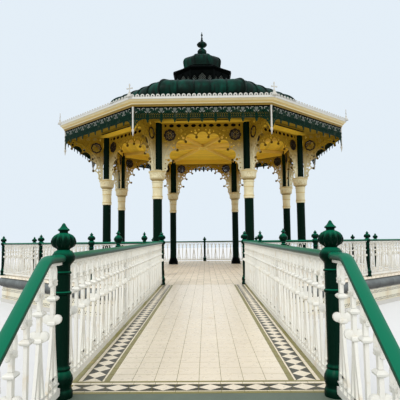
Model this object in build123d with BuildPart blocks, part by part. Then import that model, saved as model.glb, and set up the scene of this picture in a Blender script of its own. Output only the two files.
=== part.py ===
from build123d import *
import math
import os

# An eight-sided iron bandstand on a raised platform, reached by a short bridge and a few steps.
# Sizes are in millimetres. The origin is on the ground, on the axis of the ring of columns.
# X runs to the right of someone who comes over the bridge, Y to the far side and Z up.

# Driving sizes of the platform
side_count = 8
deck_height = 900
platform_apothem = 7000
plinth_height = 120
plinth_projection = 60
fascia_height = 380
fascia_thickness = 24
coping_height = 315
floor_thickness = 60
floor_overhang = 110

# Driving sizes of the bridge and the steps
bridge_rail_half_width = 1075
bridge_edge_margin = 125
bridge_end = 15230
bridge_near_post = 15300
bridge_fall = 94
bridge_slab = 120
bridge_gap_clearance = 10
girder_depth = 300
girder_flange = 180
girder_plate = 24
abutment_length = 900
nosing_length = 270
step_count = 5
step_going = 253

# Driving sizes of the columns
column_ring_radius = 4000
column_base_width = 420
column_base_height = 205
column_torus_radius = 185
column_torus_height = 255
shaft_radius = 152
shaft_height = 2525
shaft_ring_radius = 172
shaft_ring_height = 85
ring_slope_height = 15
neck_height = 3075
neck_ring_height = 40
capital_bell_height = 3180
abacus_height = 3395
abacus_radius = 300
capital_top = 3460
column_faces = 16
post_width = 280
ceiling_height = 5120

# Driving sizes of the arch castings
casting_thickness = 36
casting_gap = 1
arch_spring_height = 3618
cusp_tip_radius = 1025
cusp_count = 16
foil_faces = 8
foil_rotation = 22.5
frieze_height = 195
ovals_in_half_bay = 4
oval_start = 53
oval_pitch = 249
oval_half_length = 82
oval_half_height = 42
rosette_radius = 200
rosette_place = (1108, 4700)
rosette_depth = 60
rosette_faces = 12
rosette_hub_radius = 70
rosette_clearance = 0.3

# Driving sizes of the ceiling and the ring beam
ceiling_thickness = 40
beam_height = 190
beam_thickness = 60
rib_width = 80
rib_depth = 120
boss_radius = 160
soffit_slot_apothem = 4150
soffit_slot_length = 1700
soffit_slot_width = 18

# Driving sizes of the eaves
eaves_corner_radius = 5600
eaves_board_thickness = 32
eaves_board_height = 330
gutter_bottom = 5265
gutter_height = 255
gutter_reach = 165
gutter_wall = 14
gutter_lip_height = 55
cresting_height = 70
cresting_thickness = 12
cross_base = 150
cross_height = 430
cross_arm = 150
cross_bar = 36
valance_depth = 395
valance_thickness = 14
valance_bays = 10
valance_drop = 125
valance_tip_half = 18
pendant_width = 80
pendant_length = 780
pendant_tip_length = 140
pendant_tip_radius = 8

# Driving sizes of the roof
roof_thickness = 40
dome_base_radius = 3720
dome_base_height = 5950
dome_swell_radius = 3890
dome_swell_height = 6190
dome_bulge_radius = 3940
dome_bulge_height = 6410
dome_haunch_radius = 3830
dome_haunch_height = 6620
dome_shoulder_radius = 3560
dome_shoulder_height = 6790
dome_brow_radius = 3050
dome_brow_height = 6920
dome_top_height = 7380
rolls_on_side = 4
roll_width = 64
roll_height = 70

# Driving sizes of the lantern and the finial
lantern_body_radius = 1200
lantern_wall = 30
lantern_eaves_radius = 1290
lantern_eaves_height = 8100
lantern_fascia_height = 60
lantern_hood_radius = 790
lantern_hood_height = 8330
cap_bulge_radius = 835
cap_bulge_height = 8560
cap_haunch_radius = 810
cap_haunch_height = 8690
cap_shoulder_radius = 690
cap_shoulder_height = 8800
cap_top_radius = 150
cap_top_height = 9030
light_sill = 130
middle_light_width = 330
middle_light_height = 430
side_light_width = 180
side_light_height = 330
side_light_place = 310
light_head_share = 0.45
finial_bulb_radius = 190
finial_bulb_height = 125
finial_neck_radius = 60
finial_neck_height = 340
finial_disc_radius = 220
finial_disc_height = 473
finial_disc_top = 590
finial_spire_radius = 28
finial_tip_radius = 14
finial_spire_foot = 720
finial_height = 1020

# Driving sizes of the railings
rail_apothem = 7020
rail_top = 1120
handrail_width = 90
handrail_height = 60
panel_thickness = 26
panel_rail = 55
panel_clearance = 45
bar_pitch = 410
bar_width = 42
newel_width = 115
newel_base_half = 80
newel_base_height = 150
newel_flange_half = 80
newel_flange_bottom = 1060
newel_flange_height = 76
onion_foot_half = 48
onion_foot_height = 1158
onion_half = 97
onion_height = 1222
onion_top_height = 1290
newel_tip_half = 10
newel_height = 1366
bridge_bays = 3
mid_post_width = 76
mid_post_top = 1180
mid_post_finial_half = 50
mid_post_finial_height = 1255
mid_post_height = 1345
stair_knee = 15700
stair_post = 16900
seat_clearance = 0.3

# Sizes that follow
turn = 360 / side_count
half_turn = turn / 2
flat_share = math.cos(math.radians(half_turn))
side_share = math.tan(math.radians(half_turn))
half_bay = column_ring_radius * math.sin(math.radians(half_turn))
bay_apothem = column_ring_radius * flat_share
eaves_apothem = eaves_corner_radius * flat_share
floor_apothem = platform_apothem + floor_overhang
bridge_half_width = bridge_rail_half_width + bridge_edge_margin
bridge_slope = bridge_fall / (bridge_end - floor_apothem)
base_top = deck_height - floor_thickness

section_plane = Plane(origin=(0, 0, 0), x_dir=(0, -1, 0), z_dir=(-1, 0, 0))
floor_section = Plane(origin=(0, 0, deck_height), x_dir=(0, -1, 0), z_dir=(-1, 0, 0))
os.makedirs("parts", exist_ok=True)


def octagon(apothem, mode=Mode.ADD):
    """A face with eight sides, one of them square to the way in."""
    return RegularPolygon(apothem, side_count, major_radius=False, rotation=half_turn, mode=mode)


def side_plane(apothem, side=0):
    """A plane on one of the eight sides: x along the side, y up from the floor and z out."""
    angle = math.radians(turn * side)
    out = Vector(math.sin(angle), -math.cos(angle), 0)
    along = Vector(math.cos(angle), math.sin(angle), 0)
    return Plane(origin=out * apothem + Vector(0, 0, deck_height), x_dir=along, z_dir=out)


def corner_spot(radius, corner, height=0):
    """The point at a radius on the corner that follows a side."""
    angle = math.radians(turn * corner + half_turn)
    return Vector(radius * math.sin(angle), -radius * math.cos(angle), height)


def mitred_ring(section, reach):
    """Run a cross-section along the eight sides, with a mitre at every corner."""
    with BuildPart() as one_side:
        extrude(section, amount=reach, both=True)
        with BuildSketch(Plane.XY):
            with BuildLine():
                Polyline((0, 0), (-reach * side_share, -reach), (reach * side_share, -reach), close=True)
            make_face()
        extrude(amount=deck_height + cap_top_height, mode=Mode.INTERSECT)
    with BuildPart() as ring:
        with PolarLocations(0, side_count):
            add(one_side.part)
    return ring.part


def save(piece, name):
    """Label a finished piece and write it under its name."""
    piece.label = name
    export_step(piece, f"parts/{name}.step")


# Platform: a mass of masonry with a plinth, a plate band, a rolled coping and a floor

with BuildPart() as platform_base:
    with BuildSketch(Plane.XY):
        octagon(platform_apothem + plinth_projection)
    extrude(amount=plinth_height)
    with BuildSketch(Plane.XY.offset(plinth_height)):
        octagon(platform_apothem)
    extrude(amount=base_top - plinth_height)
save(platform_base.part, "platform_base")

bridge_gap = 2 * (bridge_half_width + bridge_gap_clearance)
with BuildPart() as platform_fascia:
    with BuildSketch(Plane.XY.offset(plinth_height)):
        octagon(platform_apothem + fascia_thickness)
        octagon(platform_apothem, mode=Mode.SUBTRACT)
    extrude(amount=fascia_height)
    with Locations((0, -platform_apothem, deck_height / 2)):
        Box(bridge_gap, platform_apothem / 2, deck_height, mode=Mode.SUBTRACT)
save(platform_fascia.part, "platform_fascia")

coping_radius = coping_height / 2
with BuildSketch(section_plane) as coping_section:
    with Locations((platform_apothem, base_top - coping_radius)):
        Circle(coping_radius)
        Rectangle(coping_height, coping_height, align=(Align.MAX, Align.CENTER), mode=Mode.SUBTRACT)
with BuildPart() as platform_coping:
    add(mitred_ring(coping_section.sketch, 2 * platform_apothem))
    with Locations((0, -platform_apothem, deck_height / 2)):
        Box(bridge_gap, platform_apothem / 2, deck_height, mode=Mode.SUBTRACT)
save(platform_coping.part, "platform_coping")

with BuildPart() as platform_floor:
    with BuildSketch(Plane.XY.offset(base_top)):
        octagon(floor_apothem)
    extrude(amount=floor_thickness)
save(platform_floor.part, "platform_floor")

# Bridge: two plate girders from the platform to an abutment, a slab, a stone nosing and steps

nosing_front = bridge_end + nosing_length
abutment_back = bridge_end - abutment_length


def deck_at(distance):
    """The height of the walking surface at a distance out from the axis."""
    return deck_height - bridge_slope * (distance - floor_apothem)


def sloped_strip(start, end, above, below):
    """A strip of the bridge in side view, between two depths under the walking surface."""
    with BuildSketch(section_plane) as strip:
        with BuildLine():
            Polyline(
                (start, deck_at(start) - above),
                (end, deck_at(end) - above),
                (end, deck_at(end) - below),
                (start, deck_at(start) - below),
                close=True,
            )
        make_face()
    return strip.sketch


girder_bottom = bridge_slab + girder_depth
with BuildPart() as one_girder:
    for above, below, width in (
        (bridge_slab, girder_bottom, girder_plate),
        (bridge_slab, bridge_slab + girder_plate, girder_flange),
        (girder_bottom - girder_plate, girder_bottom, girder_flange),
    ):
        strip = sloped_strip(platform_apothem, abutment_back, above, below)
        extrude(strip, amount=width / 2, both=True)
girder_place = bridge_half_width - girder_flange / 2
with BuildPart() as bridge_girders:
    with Locations((-girder_place, 0, 0), (girder_place, 0, 0)):
        add(one_girder.part)
save(bridge_girders.part, "bridge_girders")

with BuildPart() as bridge_deck:
    strip = sloped_strip(floor_apothem, bridge_end, 0, bridge_slab)
    extrude(strip, amount=bridge_half_width, both=True)
save(bridge_deck.part, "bridge_deck")

riser = deck_at(nosing_front) / step_count
nosing_seat = deck_at(nosing_front) - riser
with BuildPart() as bridge_abutment:
    with BuildSketch(section_plane):
        with BuildLine():
            Polyline(
                (abutment_back, 0),
                (nosing_front, 0),
                (nosing_front, nosing_seat),
                (bridge_end, nosing_seat),
                (bridge_end, deck_at(bridge_end) - bridge_slab),
                (abutment_back, deck_at(abutment_back) - bridge_slab),
                close=True,
            )
        make_face()
    extrude(amount=bridge_half_width, both=True)
save(bridge_abutment.part, "bridge_abutment")

with BuildPart() as bridge_nosing:
    with BuildSketch(section_plane):
        with BuildLine():
            Polyline(
                (bridge_end, nosing_seat),
                (nosing_front, nosing_seat),
                (nosing_front, deck_at(nosing_front)),
                (bridge_end, deck_at(bridge_end)),
                close=True,
            )
        make_face()
    extrude(amount=bridge_half_width, both=True)
save(bridge_nosing.part, "bridge_nosing")

with BuildPart() as entrance_steps:
    for step in range(1, step_count):
        step_top = deck_at(nosing_front) - step * riser
        step_front = nosing_front + step * step_going
        with Locations((0, -nosing_front, 0)):
            Box(
                2 * bridge_half_width,
                step_front - nosing_front,
                step_top,
                align=(Align.CENTER, Align.MAX, Align.MIN),
            )
save(entrance_steps.part, "entrance_steps")

# Columns: an eight-sided foot, a round shaft, a necked capital and the post above it

with BuildPart() as one_column:
    with BuildSketch(Plane.XY):
        octagon(column_base_width / 2)
    extrude(amount=column_base_height)
    for height, radius in (
        (column_base_height, column_torus_radius),
        (column_torus_height, column_torus_radius),
        (column_torus_height + shaft_ring_height, shaft_radius),
        (shaft_height, shaft_radius),
        (shaft_height + ring_slope_height, shaft_ring_radius),
        (shaft_height + shaft_ring_height, shaft_ring_radius),
        (shaft_height + shaft_ring_height + ring_slope_height, shaft_radius),
        (neck_height, shaft_radius),
        (neck_height + ring_slope_height, shaft_ring_radius),
        (neck_height + neck_ring_height, shaft_ring_radius),
        (capital_bell_height, shaft_radius),
        (abacus_height, abacus_radius),
        (capital_top, abacus_radius),
    ):
        with BuildSketch(Plane.XY.offset(height)):
            RegularPolygon(radius, column_faces, major_radius=False, rotation=half_turn / 2)
    loft(ruled=True)
    with BuildSketch(Plane.XY.offset(capital_top)):
        RegularPolygon(post_width / 2, column_faces, major_radius=False, rotation=half_turn / 2)
    extrude(amount=ceiling_height - capital_top)
for corner in range(side_count):
    spot = corner_spot(column_ring_radius, corner, deck_height)
    save(one_column.part.moved(Location(spot)), f"column_{corner + 1}")

# Arch castings: one cusped half arch, used in pairs in the bays and singly under the eaves

casting_edge = half_bay - post_width / 2 - seat_clearance
cusp_turn = 360 / cusp_count
foil_radius = cusp_tip_radius * math.sin(math.radians(cusp_turn / 2))
foil_place = cusp_tip_radius * math.cos(math.radians(cusp_turn / 2))

with BuildSketch(Plane.XY) as half_casting_face:
    with Locations((casting_gap / 2, capital_top)):
        Rectangle(casting_edge - casting_gap / 2, ceiling_height - capital_top, align=(Align.MIN, Align.MIN))
    with Locations((0, arch_spring_height)):
        RegularPolygon(cusp_tip_radius, cusp_count, rotation=cusp_turn / 2, mode=Mode.SUBTRACT)
        with PolarLocations(foil_place, cusp_count):
            RegularPolygon(
                foil_radius, foil_faces, major_radius=False, rotation=foil_rotation, mode=Mode.SUBTRACT
            )
    with Locations(rosette_place):
        RegularPolygon(rosette_radius, rosette_faces, major_radius=False, mode=Mode.SUBTRACT)
    for oval in range(ovals_in_half_bay):
        middle = oval_start + (oval + 1) * oval_pitch
        level = ceiling_height - frieze_height / 2
        with BuildLine():
            Polyline(
                (middle - oval_half_length, level),
                (middle, level - oval_half_height),
                (middle + oval_half_length, level),
                (middle, level + oval_half_height),
                close=True,
            )
        make_face(mode=Mode.SUBTRACT)

with BuildPart() as half_casting:
    extrude(half_casting_face.sketch, amount=casting_thickness / 2, both=True)

with BuildPart() as bay_castings:
    add(half_casting.part)
    mirror(about=Plane.YZ)
for side in range(side_count):
    save(side_plane(bay_apothem, side).location * bay_castings.part, f"spandrel_{side + 1}")

rosette_outer = rosette_radius - rosette_clearance
with BuildPart() as one_rosette:
    with BuildSketch(Plane.XY):
        with Locations(rosette_place):
            RegularPolygon(rosette_outer, rosette_faces, major_radius=False)
    extrude(amount=rosette_depth / 2, both=True)
    with BuildSketch(Plane.XY):
        with Locations(rosette_place):
            RegularPolygon(rosette_hub_radius, side_count, major_radius=False)
    extrude(amount=rosette_depth, both=True)
bracket_reach = column_ring_radius + post_width / 2 + seat_clearance + casting_edge


def bracket_plane(corner):
    """The upright plane of a bracket: x runs inwards from its tip to the column."""
    angle = math.radians(turn * corner + half_turn)
    inwards = Vector(-math.sin(angle), math.cos(angle), 0)
    across = Vector(math.cos(angle), math.sin(angle), 0)
    return Plane(origin=corner_spot(bracket_reach, corner, deck_height), x_dir=inwards, z_dir=across)


with BuildPart() as eaves_brackets:
    for corner in range(side_count):
        add(bracket_plane(corner).location * half_casting.part)
save(eaves_brackets.part, "eaves_brackets")

with BuildPart() as rosettes:
    for side in range(side_count):
        add(side_plane(bay_apothem, side).location * one_rosette.part)
        add(side_plane(bay_apothem, side).location * one_rosette.part.mirror(Plane.YZ))
        add(bracket_plane(side).location * one_rosette.part)
save(rosettes.part, "rosettes")

# Ceiling: a ring beam behind the castings, a boarded ceiling and the ribs under it

beam_apothem = bay_apothem - casting_thickness / 2 - seat_clearance - beam_thickness
with BuildPart() as ring_beam:
    for side in range(side_count):
        with BuildSketch(side_plane(beam_apothem, side)):
            with Locations((0, ceiling_height)):
                Rectangle(2 * casting_edge, beam_height, align=(Align.CENTER, Align.MAX))
        extrude(amount=beam_thickness)
save(ring_beam.part, "ring_beam")

board_outer = eaves_apothem - valance_thickness
board_inner = board_outer - eaves_board_thickness
pendant_place = bracket_reach + seat_clearance + pendant_width / 2
with BuildSketch(Plane.XY) as pendant_notches:
    with PolarLocations(pendant_place, side_count, start_angle=half_turn):
        Rectangle(pendant_width + 2 * seat_clearance, pendant_width + 2 * seat_clearance)
with BuildPart() as ceiling:
    with BuildSketch(Plane.XY.offset(deck_height + ceiling_height)):
        octagon(board_inner - seat_clearance)
        add(pendant_notches.sketch, mode=Mode.SUBTRACT)
        with PolarLocations(soffit_slot_apothem, side_count):
            Rectangle(soffit_slot_width, soffit_slot_length, mode=Mode.SUBTRACT)
    extrude(amount=ceiling_thickness)
save(ceiling.part, "ceiling")

rib_length = column_ring_radius - post_width / 2 - seat_clearance
with BuildPart() as ceiling_ribs:
    with BuildSketch(Plane.XY.offset(deck_height + ceiling_height)):
        with PolarLocations(0, side_count, start_angle=half_turn):
            Rectangle(rib_length, rib_width, align=(Align.MIN, Align.CENTER))
        octagon(boss_radius)
    extrude(amount=-rib_depth)
save(ceiling_ribs.part, "ceiling_ribs")

# Eaves: board and low roof, gutter with its cresting, corner crosses, valance and pendants

eaves_top = ceiling_height + eaves_board_height
dome_base_apothem = dome_base_radius * flat_share
with BuildSketch(floor_section) as apron_section:
    with BuildLine():
        Polyline(
            (board_outer, ceiling_height),
            (board_outer, eaves_top),
            (dome_base_apothem, dome_base_height),
            (dome_base_apothem, dome_base_height - roof_thickness),
            (board_inner, eaves_top - roof_thickness),
            (board_inner, ceiling_height),
            close=True,
        )
    make_face()
with BuildPart() as roof_apron:
    add(mitred_ring(apron_section.sketch, 2 * board_outer))
    extrude(pendant_notches.sketch, amount=deck_height + gutter_bottom, mode=Mode.SUBTRACT)
save(roof_apron.part, "roof_apron")

gutter_back = board_outer + seat_clearance
gutter_lip = eaves_apothem + gutter_reach
gutter_top = gutter_bottom + gutter_height
with BuildSketch(floor_section) as gutter_section:
    with BuildLine():
        Polyline(
            (gutter_back, gutter_bottom),
            (eaves_apothem, gutter_bottom),
            (gutter_lip, gutter_top - gutter_lip_height),
            (gutter_lip, gutter_top),
            (gutter_lip - gutter_wall, gutter_top),
            (gutter_lip - gutter_wall, gutter_top - gutter_lip_height + gutter_wall / 2),
            (eaves_apothem - gutter_wall / 2, gutter_bottom + gutter_wall),
            (gutter_back, gutter_bottom + gutter_wall),
            close=True,
        )
    make_face()
save(mitred_ring(gutter_section.sketch, 2 * board_outer), "eaves_gutter")

with BuildSketch(floor_section) as cresting_section:
    with Locations((gutter_lip, gutter_top)):
        Rectangle(cresting_thickness, cresting_height, align=(Align.MAX, Align.MIN))
cross_place = (gutter_lip - cresting_thickness / 2) / flat_share
cross_notch = cross_base + 2 * seat_clearance
with BuildPart() as gutter_cresting:
    add(mitred_ring(cresting_section.sketch, 2 * board_outer))
    with BuildSketch(Plane.XY.offset(deck_height + gutter_top)):
        with PolarLocations(cross_place, side_count, start_angle=half_turn):
            Rectangle(cross_notch, cross_notch)
    extrude(amount=cresting_height, mode=Mode.SUBTRACT)
save(gutter_cresting.part, "gutter_cresting")

with BuildPart() as one_cross:
    with BuildSketch(Plane.XY):
        Rectangle(cross_base, cross_base)
    with BuildSketch(Plane.XY.offset(cross_base)):
        Rectangle(cross_bar, cross_bar)
    loft(ruled=True)
    with Locations((0, 0, cross_base)):
        Box(cross_bar, cross_bar, cross_height - cross_base, align=(Align.CENTER, Align.CENTER, Align.MIN))
    with Locations((0, 0, cross_height - cross_arm)):
        Box(cross_bar, cross_arm, cross_bar)
with BuildPart() as corner_crosses:
    for corner in range(side_count):
        spot = corner_spot(cross_place, corner, deck_height + gutter_top)
        add(one_cross.part.moved(Location(spot, (0, 0, turn * corner + half_turn))))
save(corner_crosses.part, "corner_crosses")

with BuildPart() as one_pendant:
    with BuildSketch(Plane.XY):
        RegularPolygon(pendant_width / 2, column_faces, major_radius=False, rotation=half_turn / 2)
    extrude(amount=-pendant_length)
    with BuildSketch(Plane.XY.offset(-pendant_length)):
        RegularPolygon(pendant_width / 2, column_faces, major_radius=False, rotation=half_turn / 2)
    with BuildSketch(Plane.XY.offset(-pendant_length - pendant_tip_length)):
        RegularPolygon(pendant_tip_radius, column_faces, major_radius=False, rotation=half_turn / 2)
    loft(ruled=True)
with BuildPart() as corner_pendants:
    for corner in range(side_count):
        spot = corner_spot(pendant_place, corner, deck_height + gutter_bottom)
        add(one_pendant.part.moved(Location(spot)))
save(corner_pendants.part, "corner_pendants")

valance_edge = pendant_place * math.sin(math.radians(half_turn)) - pendant_width / 2 - seat_clearance
valance_pitch = 2 * valance_edge / valance_bays
valance_bottom = gutter_bottom - valance_depth
with BuildSketch(Plane.XY) as valance_face:
    with BuildLine():
        points = [(-valance_edge, gutter_bottom), (-valance_edge, valance_bottom - valance_drop)]
        for bay in range(1, valance_bays):
            middle = -valance_edge + bay * valance_pitch
            points.append((middle - valance_tip_half, valance_bottom))
            points.append((middle, valance_bottom - valance_drop))
            points.append((middle + valance_tip_half, valance_bottom))
        points.append((valance_edge, valance_bottom - valance_drop))
        points.append((valance_edge, gutter_bottom))
        Polyline(*points, close=True)
    make_face()
with BuildPart() as one_valance:
    extrude(valance_face.sketch, amount=valance_thickness)
with BuildPart() as eaves_valance:
    for side in range(side_count):
        add(side_plane(board_outer + seat_clearance, side).location * one_valance.part)
save(eaves_valance.part, "eaves_valance")

# Dome: an eight-sided shell with rolled seams on its faces and hips

body_apothem = lantern_body_radius * flat_share
dome_top_radius = (body_apothem + seat_clearance) / flat_share
dome_line = [
    (dome_base_radius, dome_base_height),
    (dome_swell_radius, dome_swell_height),
    (dome_bulge_radius, dome_bulge_height),
    (dome_haunch_radius, dome_haunch_height),
    (dome_shoulder_radius, dome_shoulder_height),
    (dome_brow_radius, dome_brow_height),
    (dome_top_radius, dome_top_height),
]


def parallel_line(line, distance):
    """An outline moved out square to its runs, with a level first end and an upright last one."""
    headings = [math.atan2(after[1] - here[1], after[0] - here[0]) for here, after in zip(line, line[1:])]
    moved = [(line[0][0] + distance / math.sin(headings[0]), line[0][1])]
    for (x, z), before, after in zip(line[1:], headings, headings[1:]):
        middle = (before + after) / 2
        reach = distance / math.cos((after - before) / 2)
        moved.append((x + reach * math.sin(middle), z - reach * math.cos(middle)))
    moved.append((line[-1][0], line[-1][1] - distance / math.cos(headings[-1])))
    return moved


def shell_section(line, low, high):
    """The strip between two lines parallel to an outline."""
    with BuildSketch(floor_section) as strip:
        with BuildLine():
            Polyline(*parallel_line(line, high), *reversed(parallel_line(line, low)), close=True)
        make_face()
    return strip.sketch


def squeezed(line):
    """An outline given by its corner radii, as it lies on the middle of a side."""
    return [(radius * flat_share, height) for radius, height in line]


dome_face_line = squeezed(dome_line)
dome_section = shell_section(dome_face_line, -roof_thickness, 0)
save(mitred_ring(dome_section, 2 * dome_bulge_radius), "dome_shell")

panel_count = rolls_on_side + 1
roll_pitch = 2 * dome_base_apothem * side_share / panel_count
roll_section = shell_section(dome_face_line, 0, roll_height)
wedge_length = 2 * dome_bulge_radius
with BuildPart() as side_rolls:
    for roll in range(rolls_on_side):
        place = (roll - (rolls_on_side - 1) / 2) * roll_pitch
        extrude(Location((place, 0, 0)) * roll_section, amount=roll_width / 2, both=True)
    with BuildSketch(Plane.XY):
        with BuildLine():
            Polyline(
                (0, -roll_width / side_share),
                (roll_width - wedge_length * side_share, -wedge_length),
                (wedge_length * side_share - roll_width, -wedge_length),
                close=True,
            )
        make_face()
    extrude(amount=2 * wedge_length, mode=Mode.INTERSECT)
hip_section = shell_section(dome_line, 0, roll_height)
with BuildPart() as hip_roll:
    extrude(hip_section, amount=roll_width / 2, both=True)
with BuildPart() as dome_rolls:
    with PolarLocations(0, side_count):
        add(side_rolls.part)
    with PolarLocations(0, side_count, start_angle=half_turn):
        add(hip_roll.part)
save(dome_rolls.part, "dome_rolls")

# Lantern: a body with pointed lights, a hood, a cushion cap and the finial

hood_bottom = lantern_eaves_height - lantern_fascia_height
body_bottom = dome_top_height - roof_thickness
with BuildPart() as lantern_body:
    with BuildSketch(Plane.XY.offset(deck_height + body_bottom)):
        octagon(body_apothem)
        octagon(body_apothem - lantern_wall, mode=Mode.SUBTRACT)
    extrude(amount=hood_bottom - body_bottom)
    for side in range(side_count):
        with BuildSketch(side_plane(body_apothem, side)):
            for middle, width, height in (
                (-side_light_place, side_light_width, side_light_height),
                (0, middle_light_width, middle_light_height),
                (side_light_place, side_light_width, side_light_height),
            ):
                sill = dome_top_height + light_sill
                shoulder = sill + height * (1 - light_head_share)
                with BuildLine():
                    Polyline(
                        (middle - width / 2, sill),
                        (middle + width / 2, sill),
                        (middle + width / 2, shoulder),
                        (middle, sill + height),
                        (middle - width / 2, shoulder),
                        close=True,
                    )
                make_face()
        extrude(amount=-lantern_wall, mode=Mode.SUBTRACT)
save(lantern_body.part, "lantern_body")

hood_apothem = lantern_hood_radius * flat_share
hood_reach = lantern_eaves_radius * flat_share
body_inner = body_apothem - lantern_wall
hood_slope = (lantern_hood_height - lantern_eaves_height) / (hood_reach - hood_apothem)
with BuildSketch(floor_section) as hood_section:
    with BuildLine():
        Polyline(
            (body_inner, hood_bottom),
            (hood_reach, hood_bottom),
            (hood_reach, lantern_eaves_height),
            (hood_apothem, lantern_hood_height),
            (hood_apothem, lantern_hood_height - roof_thickness),
            (body_inner, lantern_eaves_height + (hood_reach - body_inner) * hood_slope - roof_thickness),
            close=True,
        )
    make_face()
save(mitred_ring(hood_section.sketch, 2 * hood_reach), "lantern_hood")

cap_line = [
    (lantern_hood_radius, lantern_hood_height),
    (cap_bulge_radius, cap_bulge_height),
    (cap_haunch_radius, cap_haunch_height),
    (cap_shoulder_radius, cap_shoulder_height),
    (cap_top_radius, cap_top_height),
]
cap_section = shell_section(squeezed(cap_line), -lantern_wall, 0)
save(mitred_ring(cap_section, 2 * cap_bulge_radius), "lantern_cap")

finial_line = [
    (cap_top_radius, 0),
    (finial_bulb_radius, finial_bulb_height),
    (finial_neck_radius, finial_neck_height),
    (finial_disc_radius, finial_disc_height),
    (finial_neck_radius, finial_disc_top),
    (finial_spire_radius, finial_spire_foot),
    (finial_tip_radius, finial_height),
]
with BuildPart() as finial:
    for radius, height in finial_line:
        with BuildSketch(Plane.XY.offset(deck_height + cap_top_height + height)):
            RegularPolygon(radius, column_faces, major_radius=False)
    loft(ruled=True)
save(finial.part, "finial")

# Railings: newels, flat panels of upright bars and the handrails over them

newel_line = [
    (newel_base_half, 0),
    (newel_base_half, newel_base_height),
    (newel_width / 2, newel_base_height + newel_base_half),
    (newel_width / 2, newel_flange_bottom - newel_flange_height / 2),
    (newel_flange_half, newel_flange_bottom),
    (newel_flange_half, newel_flange_bottom + newel_flange_height),
    (onion_foot_half, onion_foot_height),
    (onion_half, onion_height),
    (onion_foot_half, onion_top_height),
    (newel_tip_half, newel_height),
]


def newel(spot, extra=0.0):
    """A newel on a spot, its shaft longer by an extra where the handrail meets it higher."""
    with BuildPart() as post:
        for half, height in newel_line:
            lift = extra if height > newel_base_height + newel_base_half else 0
            with BuildSketch(Plane(origin=spot + Vector(0, 0, height + lift))):
                octagon(half)
        loft(ruled=True)
    return post.part


side_half = rail_apothem * side_share
rail_corner_radius = rail_apothem / flat_share
panel_seat = newel_base_half + seat_clearance
handrail_seat = newel_flange_half + seat_clearance
with BuildPart() as platform_newels:
    for corner in range(side_count):
        add(newel(corner_spot(rail_corner_radius, corner, deck_height)))
    for side in range(1, side_count):
        add(newel(side_plane(rail_apothem, side).origin))
save(platform_newels.part, "platform_newels")

stair_slope = riser / step_going
stair_length = stair_post - stair_knee
stair_extra = deck_at(stair_knee) - stair_slope * (stair_length - handrail_seat)
bridge_posts = [
    (rail_apothem, deck_height, 0),
    (bridge_near_post, deck_at(bridge_near_post - newel_base_half), 0),
    (stair_post, 0, stair_extra),
]
with BuildPart() as bridge_newels:
    for distance, height, extra in bridge_posts:
        for x in (-bridge_rail_half_width, bridge_rail_half_width):
            add(newel(Vector(x, -distance, height), extra))
save(bridge_newels.part, "bridge_newels")


def rail_panel(plane, start, end, slope=0.0):
    """Upright bars between two flat rails, on a plane, falling with a slope from its origin."""
    pitch = (end - start) / round((end - start) / bar_pitch)
    low = panel_clearance + panel_rail
    high = rail_top - handrail_height - panel_rail
    with BuildSketch(plane) as face:
        with BuildLine():
            Polyline(
                (start, panel_clearance - slope * start),
                (end, panel_clearance - slope * end),
                (end, high + panel_rail - slope * end),
                (start, high + panel_rail - slope * start),
                close=True,
            )
        make_face()
        for gap in range(round((end - start) / pitch)):
            left = start + gap * pitch + bar_width / 2
            right = start + (gap + 1) * pitch - bar_width / 2
            with BuildLine():
                Polyline(
                    (left, low - slope * left),
                    (right, low - slope * right),
                    (right, high - slope * right),
                    (left, high - slope * left),
                    close=True,
                )
            make_face(mode=Mode.SUBTRACT)
    with BuildPart() as panel:
        extrude(face.sketch, amount=panel_thickness / 2, both=True)
    return panel.part


def handrail(plane, start, end, slope=0.0):
    """A length of handrail on a plane, its ends upright."""
    with BuildSketch(plane) as face:
        with BuildLine():
            Polyline(
                (start, rail_top - handrail_height - slope * start),
                (end, rail_top - handrail_height - slope * end),
                (end, rail_top - slope * end),
                (start, rail_top - slope * start),
                close=True,
            )
        make_face()
    with BuildPart() as rail:
        extrude(face.sketch, amount=handrail_width / 2, both=True)
    return rail.part


def bay_ends(side, seat):
    """Where the two bays on a side of the platform start and end, at a seat from their newels."""
    inner = seat if side else bridge_rail_half_width + seat
    return ((-side_half + seat, -inner), (inner, side_half - seat))


for side in range(side_count):
    with BuildPart() as platform_railing:
        for start, end in bay_ends(side, panel_seat):
            add(rail_panel(side_plane(rail_apothem, side), start, end))
    save(platform_railing.part, f"platform_railing_{side + 1}")
with BuildPart() as platform_handrails:
    for side in range(side_count):
        for start, end in bay_ends(side, handrail_seat):
            add(handrail(side_plane(rail_apothem, side), start, end))
save(platform_handrails.part, "platform_handrails")


def beside_bridge(x, distance):
    """An upright plane along the bridge: x runs out from the platform, y up from the deck there."""
    spot = (x, -distance, deck_at(distance))
    return Plane(origin=spot, x_dir=(0, -1, 0), z_dir=(-1, 0, 0))


bridge_length = bridge_near_post - rail_apothem
for name, x in (("left", -bridge_rail_half_width), ("right", bridge_rail_half_width)):
    level = beside_bridge(x, rail_apothem)
    panel = rail_panel(level, panel_seat, bridge_length - panel_seat, bridge_slope)
    save(panel, f"bridge_railing_{name}")
    stair = beside_bridge(x, stair_knee)
    with BuildPart() as stair_railing:
        add(rail_panel(stair, bridge_near_post - stair_knee + panel_seat, 0))
        add(rail_panel(stair, 0, stair_length - panel_seat, stair_slope))
    save(stair_railing.part, f"stair_railing_{name}")
with BuildPart() as bridge_handrails:
    for x in (-bridge_rail_half_width, bridge_rail_half_width):
        level = beside_bridge(x, rail_apothem)
        add(handrail(level, handrail_seat, bridge_length - handrail_seat, bridge_slope))
        stair = beside_bridge(x, stair_knee)
        add(handrail(stair, bridge_near_post - stair_knee + handrail_seat, 0))
        add(handrail(stair, 0, stair_length - handrail_seat, stair_slope))
save(bridge_handrails.part, "bridge_handrails")

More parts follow.
